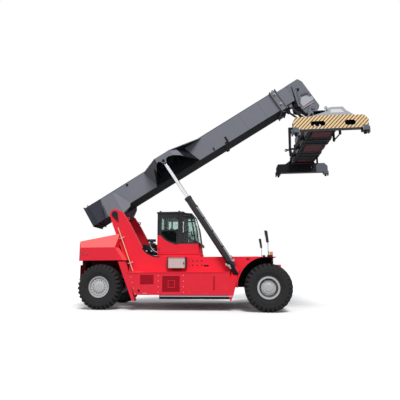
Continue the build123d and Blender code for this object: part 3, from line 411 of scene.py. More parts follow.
def sprayed(name, colour, rough=0.36, shine=0.12, dust=0.12, gloss=0.28):
    paint = Paint(name)
    cloud = paint.noise(1.3, 5)
    grime = paint.ramp(paint.noise(6, 6), 0.5, 0.75) * paint.ramp(paint.axis("Z"), 1.4, 0.2) * dust
    shaded = paint.mix(cloud, [c * 0.93 for c in colour], [min(1, c * 1.05) for c in colour])
    paint.base = paint.mix(grime, shaded, coat["dust"])
    paint.set(Base_Color=paint.base, Roughness=rough + 0.1 * paint.noise(9, 3) + 0.3 * grime)
    paint.set(Coat_Weight=shine, Coat_Roughness=0.12, Specular_IOR_Level=gloss)
    paint.bump(paint.noise(90, 2), 0.0006, 0.25)
    return paint


def boomPaint():
    # grey sides; undersides, the sides inside the wings' open pockets and the tail's sides painted dark as shade
    paint = sprayed("boomPaint", coat["boom"], 0.5, 0.0, gloss=0.12)
    x, z = paint.axis("X") - boomPivot.x, paint.axis("Z") - boomPivot.z
    along, above = x * boomAlong.x + z * boomAlong.z, z * boomAlong.x - x * boomAlong.z
    wide = paint.wide()
    # the boom's sides and the plates inside the wings' pockets: painted shade cast by the wings
    near = (wide < 0.99) * (wide > 0.462) * (paint.facing("Z") < 0.75)
    rear, front = along > 2.36 - (0.897 - above) * 0.556, along < 3.83 + (0.853 - above) * 0.356
    pocketShade = rear * front * near * (above < 1.005)
    # down-facing faces: painted shade
    under = paint.ramp(paint.facing("Z"), -0.45, -0.7)
    under = under.calc("MAXIMUM", under, pocketShade)
    # the tail's sides in a darker blue-grey: painted shade
    tail = along < above * 0.22 - 0.542
    # near-black with a faint cloud, the colour of the painted shade
    deep = paint.mix(paint.noise(2.5, 4), (0.005, 0.007, 0.009), (0.012, 0.016, 0.018))
    paint.set(Base_Color=paint.mix(under, paint.mix(tail, paint.base, coat["tail"]), deep),
              Roughness=0.5 + 0.35 * under + 0.08 * paint.noise(9, 3))
    return paint


def railPaint():
    # beige rails, the cab's own grab bars plain
    paint = sprayed("railPaint", coat["beige"], 0.4, 0.1)
    cab = paint.ramp(paint.axis("X"), -1.4, -1.35) * (paint.axis("Z") > 2.5)
    paint.set(Base_Color=paint.mix(cab, paint.base, coat["cab"]))
    return paint


def plainMetal(name, colour, rough, metallic=1.0):
    paint = Paint(name)
    scuff = paint.noise(40, 4, (1, 1, 0.1))
    paint.set(Base_Color=paint.mix(scuff, [c * 0.85 for c in colour], colour), Metallic=metallic,
              Roughness=rough + 0.12 * scuff)
    return paint


def standPaint():
    # steel tubes on black feet
    paint = plainMetal("standSteel", (0.55, 0.56, 0.58), 0.35, 0.6)
    paint.set(Base_Color=paint.mix(paint.axis("Z") < 2.075, (0.5, 0.51, 0.53), coat["dark"]))
    return paint


def rubber(name, colour):
    paint = Paint(name)
    worn = paint.ramp(paint.noise(7, 6), 0.45, 0.7)
    paint.set(Base_Color=paint.mix(0.6 * worn, colour, [c * 2.2 for c in colour]),
              Roughness=0.75 + 0.12 * worn,
              Specular_IOR_Level=0.25)
    paint.bump(paint.noise(120, 4), 0.0012, 0.5)
    return paint


def redPaint():
    # the panels behind the side grilles are painted a deeper red as the shade of the recess
    paint = sprayed("redPaint", coat["red"], 0.5, 0.03, gloss=0.0)
    outside = abs(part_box("side_box_right")[0].y)
    wide = paint.wide()
    grilleShade = (wide > outside - 0.079) * (wide < outside - 0.0265) * (paint.axis("Z") < 1.28)
    # upward faces at the rear paler pink: painted reflection of the sky
    skyReflectionMask = paint.ramp(paint.facing("Z"), 0.25, 0.9) * (paint.axis("X") < rearAxle.x + 1.6) * 0.75
    colour = paint.mix(grilleShade, paint.mix(skyReflectionMask, paint.base, coat["skyReflectionRed"]), coat["recessShade"])
    # painted shade inside the front wheel arches and low on the body between and behind the rear wheels
    ahead, above = paint.axis("X") - frontAxle.x, paint.axis("Z") - frontAxle.z
    front = (ahead * ahead + above * above < 1.064 ** 2) * (wide > 0.955)
    back = paint.axis("X") - rearAxle.x
    rear = (back < 0.95) * (paint.axis("Z") < 1.815) * (wide < 1.3)
    paint.set(Base_Color=paint.mix(front.calc("MAXIMUM", front, rear), colour, coat["arch"]))
    return paint


def stripedPaint():
    # dark slanting stripes on the near beam's outer plate; gusset, castings and the other beam are plain
    paint = Paint("stripedPaint")
    form = {"pitch": 0.124, "lean": 0.95, "dark": 0.56, "top": 6.545, "low": 6.085, "plate": -3.035,
            "casting": 1.045,
            "castingTop": 6.16, "farGrey": 4.83}
    x, y, z = paint.axis("X"), paint.axis("Y"), paint.axis("Z")
    centre = middle("end_beam_right").x
    slope = (x - z * form["lean"]) / form["pitch"] % 1.0
    band = paint.ramp(slope, form["dark"] - 0.05, form["dark"] + 0.05) * paint.ramp(slope, 1.0, 0.92)
    worn = paint.ramp(paint.noise(14, 5), 0.5, 0.8)
    striped = paint.mix(band * (1 - 0.3 * worn), coat["cream"], coat["stripe"])
    fromMiddle = (x - centre).calc("ABSOLUTE", x - centre)
    casting = (fromMiddle > form["casting"]) * (z < form["castingTop"])
    lowBox = z < form["top"]
    outerPlate = (y < form["plate"]) * lowBox * (1 - casting) * (z > form["low"])
    inside = lowBox * (1 - casting) * (y > form["plate"])
    # down-facing faces: painted shade, in the frame colour and, below the low box, in near-black
    under = paint.ramp(paint.facing("Z"), -0.4, -0.7)
    grey = paint.mix(casting, coat["pale"], coat["head"])
    nearPlain = paint.mix(inside.calc("MAXIMUM", inside, under), grey, coat["frame"])
    far = paint.mix((x > form["farGrey"]) * (1 - under), coat["frame"], coat["head"])
    plain = paint.mix(y < 0, far, nearPlain)
    plain = paint.mix(under * lowBox, plain, coat["under"])
    paint.set(Base_Color=paint.mix(outerPlate, plain, striped), Roughness=0.5 + 0.1 * worn,
              Specular_IOR_Level=0.1)
    paint.bump(paint.noise(80, 2), 0.0006, 0.25)
    return paint


def lampPaint():
    # amber at the front, white and red at the rear
    paint = Paint("lampLens")
    rear = paint.axis("X") < rearAxle.x
    wide = paint.wide()
    ribs = paint.axis("Z") / 0.012 % 1.0
    lens = paint.mix(wide > 0.62, coat["lampWhite"], coat["lampRed"])
    colour = paint.mix(rear, coat["amber"], lens)
    paint.set(Base_Color=paint.mix(0.25 * ribs, colour, (0.05, 0.02, 0.02)),
              Roughness=0.18 + 0.1 * paint.noise(20),
              Coat_Weight=0.6)
    paint.bump(ribs, 0.0015, 0.4)
    return paint


def tintedGlass():
    # panes have a dark film below the door's bar
    paint = Paint("tintedGlass")
    smear = paint.noise(3, 4)
    ahead = paint.ramp(paint.axis("X"), -1.22, -1.2)
    lower = paint.ramp(paint.axis("Z"), 3.0, 2.985) * (1 - ahead)
    film = lower + paint.ramp(paint.axis("Z"), 2.98, 2.9) * ahead * 0.35
    paint.set(Base_Color=paint.mix(film, (0.62, 0.75, 0.71), (0.02, 0.034, 0.036)),
              Transmission_Weight=0.94, IOR=1.12, Roughness=0.02 + 0.04 * smear)
    return paint


bpy.context.scene.view_settings.view_transform = "Standard"
makeCamera()
makeStudio()
finish = {
    "machine_red": redPaint(), "boom_grey": boomPaint(), "tinted_glass": tintedGlass(),
    "rail_beige": railPaint(), "stand_silver": standPaint(), "lamp_amber": lampPaint(),
    "end_beam_cream": stripedPaint(),
    "head_grey": sprayed("headPaint", coat["head"], 0.44, 0.1),
    "dark_steel": sprayed("darkPaint", coat["dark"], 0.6, 0.0, gloss=0.15),
    "cylinder_grey": sprayed("cylinderPaint", (0.014, 0.015, 0.021), 0.3, 0.15, gloss=0.25),
    "rod_chrome": plainMetal("chromePlate", (0.8, 0.81, 0.83), 0.12),
    "cab_grey": sprayed("cabPaint", coat["cab"], 0.5, 0.0, gloss=0.2),
    "cab_plastic": sprayed("cabPlastic", (0.016, 0.017, 0.019), 0.6, 0.0, 0.0),
    "cabinet_grey": sprayed("cabinetPaint", coat["cabinet"], 0.45, 0.1),
    "rim_silver": sprayed("rimPaint", coat["silver"], 0.42, 0.15),
    "tyre": rubber("tyreRubber", (0.013, 0.012, 0.0125))}
for part in frame["record"]["subparts"]:
    node = frame["nodes"][part["node"]]
    for index in range(max(1, len(node.material_slots))):
        node.material_slots[index].material = finish[part["material_slot"]].material
print("finishes done")
# tyres: a carcass with grooves carved between its shoulder lugs, smooth walls with two bead rings
tyreForm = {"lugs": 30, "width": 0.48, "marks": (0.0, 0.16, 0.3, 0.42, 0.46, 0.88, 0.94), "carved": (4, 5),
            "lean": 0.1,
            "half": 0.24}
# offset from the middle and radius of a lug's line, and of the groove's floor where it differs
tyreLine = [(0.0, 0.83), (0.062, 0.83), (0.084, 0.83, 0.08, 0.798), (0.128, 0.828, 0.122, 0.772),
            (0.168, 0.822, 0.158, 0.752), (0.196, 0.804, 0.178, 0.735), (0.214, 0.777, 0.192, 0.718),
            (0.227, 0.742, 0.206, 0.7), (0.235, 0.706, 0.223, 0.683), (0.2395, 0.668), (0.24, 0.632),
            (0.2385, 0.592), (0.2345, 0.558), (0.2365, 0.552), (0.2355, 0.541), (0.2305, 0.538),
            (0.2225, 0.512), (0.2235, 0.503), (0.2205, 0.492), (0.2135, 0.489), (0.202, 0.458),
            (0.198, 0.432), (0.188, 0.424), (0.182, 0.404), (0.182, 0.3923)]


def tyreRows():
    outer = [(line * 2)[:4] for line in tyreLine]
    return [(-y, r, -gy, gr) for y, r, gy, gr in reversed(outer[1:])] + outer


def addTyre(centre, outward):
    points = []
    rows, marks = tyreRows(), tyreForm["marks"]
    columns = tyreForm["lugs"] * len(marks)
    for y, radius, grooveY, grooveRadius in rows:
        for column in range(columns):
            lug, mark = divmod(column, len(marks))
            deep = 1.0 if mark in tyreForm["carved"] else 0.0
            place = y + (grooveY - y) * deep
            reach = radius + (grooveRadius - radius) * deep
            lean = tyreForm["lean"] * abs(y) / tyreForm["half"]
            turn = 2 * math.pi * (lug + marks[mark] + lean) / tyreForm["lugs"]
            points.append(centre + Vector((reach * math.sin(turn), place * outward, reach * math.cos(turn))))
    add(points, rings(len(rows), columns, closed=True))


for side, outward in sides:
    low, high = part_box("tyre_front_" + side)
    for end, name, half in (("front", "tyres_front_" + side, (high.y - low.y - tyreForm["width"]) / 2),
                            ("rear", f"tyre_rear_{side}_rubber", 0)):
        axle = middle(f"tyre_{end}_{side}")
        axle.z = {"front": frontAxle, "rear": rearAxle}[end].z
        for offset in ((half, -half) if half else (0,)):
            addTyre(axle + left * offset, outward)
        piece = make(name, f"wheel_{end}_{side}", "tyre", smooth=38)
        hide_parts(f"tyre_{end}_{side}")
print("tyres done")

# nuts, hub bolts and the rear rim's dark holes: offset from the tyre's middle, ring radius, how many, size
wheelRings = {"front": [(0.104, 0.252, 20, 0.011), (0.15, 0.176, 10, 0.011), (0.168, 0.06, 6, 0.009)],
              "rear": [(0.158, 0.338, 18, 0.015), (0.198, 0.085, 8, 0.01), (0.175, 0.205, 12, 0.008)],
              "holes": [(0.162, 0.312, 18, 0.016), (0.18, 0.235, 16, 0.013)]}
valveForm = {"foot": (0.02, 0, 0.352), "out": 0.11, "along": (-0.03, 0.04, 0.05), "drop": 0.05,
             "radius": 0.006, "bend": 0.02}
# the bead laps over the rim's flange
beadLine = [(-0.004, 0.386), (0.003, 0.389), (0.004, 0.41), (-0.006, 0.432), (-0.02, 0.432), (-0.02, 0.415)]


def outerHub(end, side, outward):
    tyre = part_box(f"tyre_{end}_{side}")
    rim = middle(f"rim_{end}_{side}")
    return Vector((rim.x, tyre[outward > 0].y - outward * tyreForm["width"] / 2, rim.z))


for end in ("front", "rear"):
    for side, outward in sides:
        out, hub = left * outward, outerHub(end, side, outward)
        for offset, ring, count, size in wheelRings[end]:
            for turn in turns(count, 0.5):
                bolt(hub + out * offset + around(turn, ring), out, size)
        valve = hub + out * valveForm["out"] + Vector(valveForm["foot"])
        back, ahead, tip = [valve + out * reach for reach in valveForm["along"]]
        pipe([back, ahead, tip - up * valveForm["drop"]], valveForm["radius"], valveForm["bend"])
        make(f"wheel_nuts_{end}_{side}", f"wheel_{end}_{side}", "rim_silver")
for side, outward in sides:
    out, hub = left * outward, outerHub("rear", side, outward)
    for offset, ring, count, size in wheelRings["holes"]:
        for turn in turns(count):
            lathe(hub + out * offset + around(turn, ring), out, [(-0.01, size), (0.002, size)], 12)
    make("rim_holes_" + side, "wheel_rear_" + side, "dark_steel", "cab_plastic")
for end in ("front", "rear"):
    for side, outward in sides:
        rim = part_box(f"rim_{end}_{side}")
        flange = Vector(((rim[0].x + rim[1].x) / 2, rim[outward > 0].y, (rim[0].z + rim[1].z) / 2))
        lathe(flange, left * outward, beadLine, 64, closed=True)
        make(f"bead_{end}_{side}", f"wheel_{end}_{side}", "tyre", smooth=60)
print("wheel nuts done")

# coats of the added pieces
finish.update({"nut": sprayed("nutPaint", (0.4, 0.41, 0.42), 0.4, 0.1),
          "black": sprayed("blackPaint", (0.007, 0.007, 0.009), 0.6, 0.0, gloss=0.12),
          "pale": sprayed("palePaint", coat["pale"], 0.4, 0.1),
          "shadedRed": sprayed("shadedRedPaint", coat["shadedRed"], 0.6, 0.0, gloss=0.12),
          "hose": rubber("hoseRubber", (0.01, 0.01, 0.011)),
          "rose": sprayed("rosePaint", (0.62, 0.4, 0.42), 0.4, 0.1),
          "tube": plainMetal("tubeSteel", (0.36, 0.38, 0.41), 0.42),
          "mirror": plainMetal("mirrorSilver", (0.75, 0.77, 0.78), 0.06),
          "white": sprayed("whitePaint", (0.72, 0.73, 0.74), 0.4, 0.1),
          "weave": rubber("seatCloth", (0.02, 0.021, 0.024)),
          "trim": sprayed("cabTrim", (0.035, 0.038, 0.04), 0.7, 0.0, 0.0)})

# boom: pad adjusters on the collar, weld beads, lifting eyes and brackets, hanging lamp
boomForm = {"half": 0.475, "low": 0.195, "top": 1.04, "tail": -1.105, "mouth": 7.995}
adjuster = {"s": 8.135, "y": -0.515, "side": (0.9, 0.4), "across": (-0.3, 0.3), "above": 1.058,
            "below": 0.137}
for n in adjuster["side"]:
    face = onBoom(adjuster["s"], n, adjuster["y"])
    lathe(face, right, [(-0.004, 0.062), (0.016, 0.062), (0.02, 0.058)], 24)
    lathe(face, right, [(0.018, 0.04), (0.046, 0.04), (0.052, 0.034)], 6)
    lathe(face, right, [(0.045, 0.018), (0.068, 0.018)], 12)
bothSides()
for y in adjuster["across"]:
    for n, direction in ((adjuster["above"], boomUp), (adjuster["below"], -boomUp)):
        face = onBoom(adjuster["s"], n, y)
        lathe(face, direction, [(-0.004, 0.055), (0.012, 0.055)], 24)
        lathe(face, direction, [(0.01, 0.034), (0.03, 0.034)], 6)
make("collar_adjusters", "boom", "head_grey", "nut", edge=0.002)

beads = {"edges": (0.199, 1.036), "radius": 0.011, "splices": (7.375, 6.45), "splice": 0.006}
for n in beads["edges"]:
    rod(*onBoomSide(-boomForm["half"], (boomForm["tail"], n), (boomForm["mouth"], n)), beads["radius"], 8)
for s in beads["splices"]:
    corners = [onBoom(s, n, sign * boomForm["half"]) for n, sign in
               ((boomForm["low"], -1), (boomForm["top"], -1), (boomForm["top"], 1), (boomForm["low"], 1))]
    for first, second in zip(corners, corners[1:] + corners[:1]):
        rod(first, second, beads["splice"], 6)
makeBoth("boom_weld_beads", "boom", "boom_grey")

# eyes and blocks: place along the boom, height on it, y
liftingEyes = ((0.943, 0.914, -0.487), (8.195, 1.085, -0.36), (-0.75, 1.02, -0.36), (3.95, 1.02, -0.36))
boomBlocks = ((4.8, 0.29, -0.489, (0.045, 0.028, 0.12)), (5.455, 0.37, -0.485, (0.07, 0.02, 0.22)),
              (5.4, 0.235, -0.487, (0.16, 0.024, 0.06)))
for s, n, y in liftingEyes:
    eye(onBoom(s, n, y) + boomUp * 0.03, 0.012, 0.05, 0.024)
for s, n, y, size in boomBlocks:
    slab(onBoom(s, n, y), size, boomAlong, boomUp)
makeBoth("boom_brackets", "boom", "dark_steel", "black", edge=0.003)

lampArm = onBoomSide(-0.36, (5.21, 0.205), (5.21, 0.03), (5.27, -0.055))
lampHead, lampAim = lampArm[-1] + Vector((-0.02, 0, 0.05)), Vector((0.5, 0, -1))
pipe(lampArm, 0.024, 0.05)
lathe(lampHead, lampAim, [(-0.02, 0.03), (0.0, 0.06), (0.03, 0.078), (0.08, 0.08), (0.09, 0.072)], 24)
make("boom_work_lamps", "boom", "dark_steel", "black")
lathe(lampHead, lampAim, [(0.082, 0.068), (0.094, 0.066), (0.098, 0.03)], 24)
make("boom_lamp_lenses", "boom", "tinted_glass")

# wings for the lift cylinders: plates round an open pocket; corners in (s, n) and a line of y
wingForm = {"tip": -1.3, "middle": -1.07, "root": -0.475, "plate": 0.03, "pin": (2.786, 0.709), "boss": 0.11,
            "cheek": -0.93, "stiffeners": (2.36, 3.3), "stiffener": 0.025}
wingPlates = (
    ([(1.803, 1.016, "root"), (4.617, 1.016, "root"), (3.206, 0.97, "tip"), (2.496, 0.97, "tip")], -boomUp),
    ([(2.496, 0.97, "tip"), (3.206, 0.97, "tip"), (3.19, 0.708, "tip"), (3.028, 0.758, "tip"),
      (2.729, 0.673, "tip"), (2.591, 0.79, "tip"), (2.48, 0.735, "tip")], left),
    ([(1.803, 1.016, "root"), (2.496, 0.97, "tip"), (2.48, 0.735, "tip"), (2.004, 0.235, "root")], boomAlong),
    ([(3.18, 0.93, "tip"), (3.43, 0.905, "middle"), (3.5, 0.585, "middle"), (3.19, 0.708, "tip")], boomAlong),
    ([(3.43, 0.905, "middle"), (3.83, 0.853, "root"), (4.05, 0.235, "root"), (3.5, 0.585, "middle")],
     -boomAlong))
for outline, push in wingPlates:
    prism([onBoom(s, n, wingForm[line]) for s, n, line in outline], push * wingForm["plate"])
prism(onBoomSide(wingForm["cheek"], (2.36, 0.99), (3.36, 0.99), (3.1, 0.6), (2.52, 0.6)),
            left * wingForm["plate"])
for s in wingForm["stiffeners"]:
    prism([onBoom(s, n, y) for n, y in ((0.99, -0.475), (0.99, -0.92), (0.66, -0.92), (0.36, -0.475))],
                boomAlong * wingForm["stiffener"])
pin = onBoom(*wingForm["pin"], wingForm["tip"])
lathe(pin, left, [(-0.006, wingForm["boss"]), (0.064, wingForm["boss"])], 28)
wings = makeBoth("cylinder_wings", "boom", "boom_grey", edge=0.004, smooth=30)
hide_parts("cylinder_yoke")
lathe(pin, right, [(-0.01, 0.058), (0.022, 0.058), (0.028, 0.052)], 28)
for turn in turns(3):
    bolt(pin + around(turn, 0.034) + right * 0.026, right, 0.008)
makeBoth("cylinder_pin_caps", "boom", "dark_steel", "black")

# head: tilt pin caps, side bolts, shadowed slot beside the rib and the paler cast nose
headForm = {"half": -0.405, "face": -0.4049, "cap": -0.505}
pin = Vector((tiltPin.x, headForm["cap"], tiltPin.z))
lathe(pin, right, [(-0.01, 0.085), (0.012, 0.085), (0.018, 0.078)], 28)
for turn in turns(4, 0.5):
    bolt(pin + around(turn, 0.055) + right * 0.016, right, 0.01)
for place in onBoomSide(headForm["half"], (8.76, 0.93), (8.76, 0.72), (8.76, 0.5), (8.76, 0.28), (9.26, 0.36),
                       (9.31, 0.16), (9.33, -0.04)):
    bolt(place, right, 0.016)
makeBoth("head_bolts", "inner_boom", "head_grey")
prism(onBoomSide(headForm["face"], (9.01, 0.8), (8.93, 0.83), (8.62, -0.02), (8.7, -0.06)), right * 0.008)
makeBoth("head_slots", "inner_boom", "dark_steel", "black")
prism(onBoomSide(headForm["face"], (9.00, 0.22), (9.39, 0.16), (9.415, 0.05), (9.37, -0.14), (8.85, -0.17),
                       (8.84, 0.02)), right * 0.012)
makeBoth("head_nose_plates", "inner_boom", "head_grey", "pale", edge=0.003)

# clipped pipes: corners in (s, n, y), radius and bend
headPipes = (
    ("head_feed_pipes", "head_grey", "rose", 0.02, 0.03,
     [[(8.8, -0.235, -0.405), (8.8, -0.235, -0.425), (9.3, -0.235, -0.425), (9.3, -0.235, -0.405)]]),
    ("head_rib_pipes", "head_grey", None, 0.017, 0.05,
     [[(9.03, 0.62, -0.436), (9.03, 0.62, -0.466), (8.8, 0.0, -0.466), (8.8, 0.0, -0.416)]]),
    ("head_nose_pipes", "dark_steel", "hose", 0.009, 0.08,
     [[(9.06, 0.31, -0.4), (9.06, 0.31, -0.435), (9.3, 0.26, -0.435), (9.4, 0.05, -0.435), (9.4, 0.05, -0.4)],
      [(9.06, 0.26, -0.4), (9.06, 0.26, -0.435), (9.25, 0.21, -0.435), (9.35, 0.05, -0.435),
       (9.35, 0.05, -0.4)]]))
for name, slot, paint, radius, bend, runs in headPipes:
    for run in runs:
        pipe([onBoom(*corner) for corner in run], radius, bend)
    makeBoth(name, "inner_boom", slot, paint)
print("boom pieces done")

# spreader: red panels and cross bars below the frame, hose trays and side pipes
spreaderForm = {"under": 6.462, "panelX": (1.84, 2.66),
                "panels": ((-1.7, -1.05), (-0.22, 0.75), (1.55, 2.25)),
                "bars": (-2.35, -1.9, -0.85, -0.4, 0.95, 1.4, 2.4), "trays": (-2.1, -0.6, 0.6, 2.1),
                "pipes": ((1.5, 6.46, -2.45, 1.75), (1.42, 6.4, -2.3, 1.6), (1.54, 6.56, -2.5, 2.5)),
                "pipe": 0.024, "lift": 0.06, "bend": 0.05}
x0, x1 = spreaderForm["panelX"]
# the panels take a darkened copy of the machine red: painted shade below the spreader
for y0, y1 in spreaderForm["panels"]:
    prism([spot(x, y, spreaderForm["under"]) for x, y in ((x0, y0), (x1, y0), (x1, y1), (x0, y1))],
          up * 0.015)
make("spreader_red_panels", "spreader", "machine_red", "shadedRed", edge=0.003)
for y in spreaderForm["bars"]:
    slab(spot(2.15, y, 6.445), (1.06, 0.07, 0.05))
for x in (1.7, 2.6):
    slab(spot(x, 0, 6.452), (0.05, 5.0, 0.036))
for y in spreaderForm["trays"]:
    for x in (1.585, 2.715):
        slab(spot(x, y, 6.6), (0.06, 0.34, 0.1))
make("spreader_cross_bars", "spreader", "dark_steel", "black", edge=0.004)
rise = spreaderForm["lift"]
for x, z, y0, y1 in spreaderForm["pipes"]:
    pipe([spot(x + 0.1, y0, z + rise), spot(x, y0 + rise, z), spot(x, y1 - rise, z),
          spot(x + 0.12, y1, z + rise)],
               spreaderForm["pipe"], spreaderForm["bend"])
make("spreader_pipes", "spreader", "stand_silver", "hose")

# guide bar on its arm, brace below the frame's forward edge
guideForm = {"y": -1.5, "thick": 0.06, "brackets": (-2.2, -1.1, 0.0, 1.1),
             "line": ((0.97, 6.75), (1.07, 6.75), (1.045, 5.92), (1.08, 5.72), (1.02, 5.6), (0.97, 5.64),
                      (0.96, 5.9))}
for y in guideForm["brackets"]:
    slab(spot(1.5, y, 6.47), (0.24, 0.05, 0.2))
slab(spot(1.33, guideForm["y"], 6.7), (0.66, 0.07, 0.09))
slab(spot(1.12, guideForm["y"], 6.6), (0.2, 0.05, 0.14), (1, 0, 1))
prism(onSide(guideForm["y"] - guideForm["thick"] / 2, *guideForm["line"]), left * guideForm["thick"])
slab(spot(1.05, guideForm["y"], 5.905), (0.2, 0.05, 0.07))
slab(spot(0.93, guideForm["y"], 5.87), (0.14, 0.04, 0.055))
eye(spot(0.855, guideForm["y"], 5.865), 0.02, 0.055, 0.028, 24)
for sign in (-1, 1):
    pipe([spot(2.6, sign * 2.48, 6.1), spot(2.62, sign * 1.48, 6.17)], 0.026)
    slab(spot(2.6, sign * 2.44, 6.27), (0.08, 0.05, 0.4))
    slab(spot(2.62, sign * 1.52, 6.3), (0.08, 0.05, 0.34))
make("spreader_guide_bar", "spreader", "dark_steel", "black", edge=0.004)

# lock housings with their covers, lug and ring, a white plate on the gusset as a painted highlight, pins that show
# through the slots
lockForm = {"x": (-1.129, 1.129), "z": 6.165, "pins": (-0.52, -0.34), "patch": -0.0055,
            "lug": ((2.07, 6.76), (2.22, 6.74), (2.2, 6.82), (2.08, 6.85)),
            "highlightLine": ((2.16, 6.63), (2.62, 6.63), (2.5, 6.745), (2.18, 6.745))}
for side, sign in sides:
    box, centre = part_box("end_beam_" + side), middle("end_beam_" + side)
    body, out = "end_" + side, left * sign
    inner, outer = box[sign < 0].y, box[sign > 0].y
    for x in lockForm["x"]:
        lock = Vector((centre.x + x, centre.y, lockForm["z"]))
        slab(lock, (0.17, 0.19, 0.05))
        lathe(lock + up * 0.025, up, [(-0.01, 0.06), (0.05, 0.06), (0.06, 0.05)], 20)
    prism(onSide(outer - sign * 0.14, *lockForm["lug"]), out * 0.03)
    eye(spot(2.05, outer - sign * 0.125, 6.87), 0.025, 0.046, 0.022)
    slab(spot(2.175, outer - sign * 0.125, 6.83), (0.15, 0.03, 0.035), (1, 0, -0.45), (0.45, 0, 1))
    lathe(Vector((centre.x + 0.47, inner - sign * 0.001, 6.3)), -out,
          [(-0.004, 0.034), (0.02, 0.034), (0.024, 0.028)], 20)
    make("lock_fittings_" + side, body, "head_grey", "nut", edge=0.002)
    # white plate on the gusset: painted highlight
    prism(onSide(outer + sign * lockForm["patch"], *lockForm["highlightLine"]), out * 0.006)
    make("gusset_highlight_" + side, body, "cabinet_grey", "white", edge=0.004)
    for x in lockForm["pins"]:
        lathe(Vector((centre.x + x, outer - sign * 0.05, 6.215)), out,
              [(-0.15, 0.03), (0.012, 0.03), (0.018, 0.022)], 16)
    make("lock_pins_" + side, body, "head_grey", "white")
print("spreader pieces done")

# cab: wider side windows cut in a copy of the frame, panes, seals, bars, wiper and fittings
cabForm = {"side": 0.75, "glassY": 0.726, "glass": 0.008, "cut": 0.12}
sideWindow = ((-3.18, 2.485), (-3.18, 3.6), (-2.872, 3.59), (-2.782, 3.18), (-2.703, 2.485))
cornerWindow = ((-2.8, 3.42), (-2.765, 3.42), (-2.66, 3.06), (-2.6, 2.62), (-2.59, 2.53), (-2.662, 2.53),
                (-2.683, 2.667), (-2.743, 3.06))
doorWindow = ((-3.46, 3.03), (-3.46, 3.46), (-3.345, 3.46), (-3.345, 3.03))
doorPane = ((-3.452, 3.0), (-3.452, 3.48), (-3.33, 3.48), (-3.33, 3.0))
sidePane = ((-2.87, 2.49), (-2.87, 3.595), (-2.895, 3.575), (-2.79, 3.18), (-2.705, 2.49))


def cutCopy(node, name, body, slot, cutters):
    # the node's own solid with more openings cut in it
    piece = put(name, frame["nodes"][node].data.copy())
    for outline, depth in cutters:
        prism(outline, depth)
    knife = make(name + "_knife", body, slot)
    cut = piece.modifiers.new("cut", "BOOLEAN")
    cut.operation, cut.solver, cut.object = "DIFFERENCE", "EXACT", knife
    bpy.context.view_layer.update()
    result = bpy.data.meshes.new_from_object(piece.evaluated_get(bpy.context.evaluated_depsgraph_get()))
    piece.modifiers.clear()
    piece.data = result
    bpy.data.objects.remove(knife)
    result.materials.clear()
    result.materials.append(finish[slot].material)
    result.polygons.foreach_set("use_smooth", [True] * len(result.polygons))
    result.set_sharp_from_angle(angle=math.radians(25))
    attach(piece, body)
    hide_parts(node)


cutCopy("cab_frame", "cab_shell", "chassis", "cab_grey",
        [(onSide(sign * start, *outline), left * sign * cabForm["cut"])
         for sign in (-1, 1) for outline, start in ((sideWindow, 0.69), (cornerWindow, 0.66))])
for side, sign in sides:
    cutCopy("cab_door_" + side, "door_leaf_" + side, "door_" + side, "cab_grey",
            [(onSide(sign * 0.69, *doorWindow), left * sign * cabForm["cut"])])
    prism(onSide(sign * cabForm["glassY"], *doorPane), right * sign * cabForm["glass"])
    make("door_pane_" + side, "door_" + side, "tinted_glass")
for outline in (sidePane, cornerWindow):
    prism(onSide(-cabForm["glassY"], *outline), left * cabForm["glass"])
makeBoth("side_panes", "chassis", "tinted_glass")

corners = onSide(0.002 - cabForm["side"], *sideWindow)
for first, second in zip(corners, corners[1:] + corners[:1]):
    strip(first, second, 0.022, 0.016, 0.022)
slab(spot(-3.02, -0.735, 3.5), (0.3, 0.03, 0.05))
slab(spot(-3.00, -0.738, 2.9), (0.3, 0.012, 0.022))
makeBoth("window_seals", "chassis", "cab_plastic")

# door's bar, seal along its slanted lower edge and handle
doorTrim = {"line": ((-4.13, 2.815), (-4.01, 2.802), (-3.808, 2.602), (-3.487, 2.441), (-3.39, 2.441)),
            "proud": 0.004, "feet": (2.985, 2.815)}
for side, sign in sides:
    y = sign * (cabForm["side"] + doorTrim["proud"])
    slab(spot(-3.75, y, 2.992), (0.76, 0.018, 0.034))
    corners = onSide(y, *doorTrim["line"])
    for first, second in zip(corners, corners[1:]):
        strip(first, second, 0.03, 0.014, 0.01)
    slab(spot(-3.42, sign * 0.778, 2.9), (0.03, 0.03, 0.2))
    for z in doorTrim["feet"]:
        slab(spot(-3.42, sign * 0.762, z), (0.03, 0.03, 0.03))
    make("door_trim_" + side, "door_" + side, "cab_plastic", edge=0.003)
for z0, z1 in ((3.105, 3.3), (2.905, 3.06)):
    pipe([spot(-3.195, -0.745, z0), spot(-3.18, -0.785, z0), spot(-3.149, -0.785, z0),
          spot(-3.149, -0.785, z1),
                spot(-3.18, -0.785, z1), spot(-3.195, -0.745, z1)], 0.013, 0.02)
makeBoth("pillar_grips", "chassis", "stand_silver", "white")

# windscreen: seal, wiper and sill
screen = {"line": ((-2.799, 3.6), (-2.634, 3.06), (-2.554, 2.49)), "y": (-0.685, 0.685), "seal": 0.012,
          "wiper": ((-2.535, -0.1, 2.5), (-2.525, -0.1, 2.56), (-2.6, 0.16, 3.06))}
for y in screen["y"]:
    corners = onSide(y, *screen["line"])
    for first, second in zip(corners, corners[1:]):
        rod(first, second, screen["seal"], 8)
rod(spot(-2.552, -0.69, 2.485), spot(-2.552, 0.69, 2.485), 0.014, 8)
pipe([spot(*corner) for corner in screen["wiper"]], 0.01, 0.03)
slab(spot(-2.622, 0.1, 3.02), (0.012, 0.02, 0.62), (1, 0, 0.24), (-0.24, 0.35, 1))
slab(spot(-2.545, -0.1, 2.47), (0.07, 0.12, 0.05))
slab(spot(-2.475, 0, 2.385), (0.035, 1.3, 0.115))
make("screen_wiper", "chassis", "cab_plastic", edge=0.003)

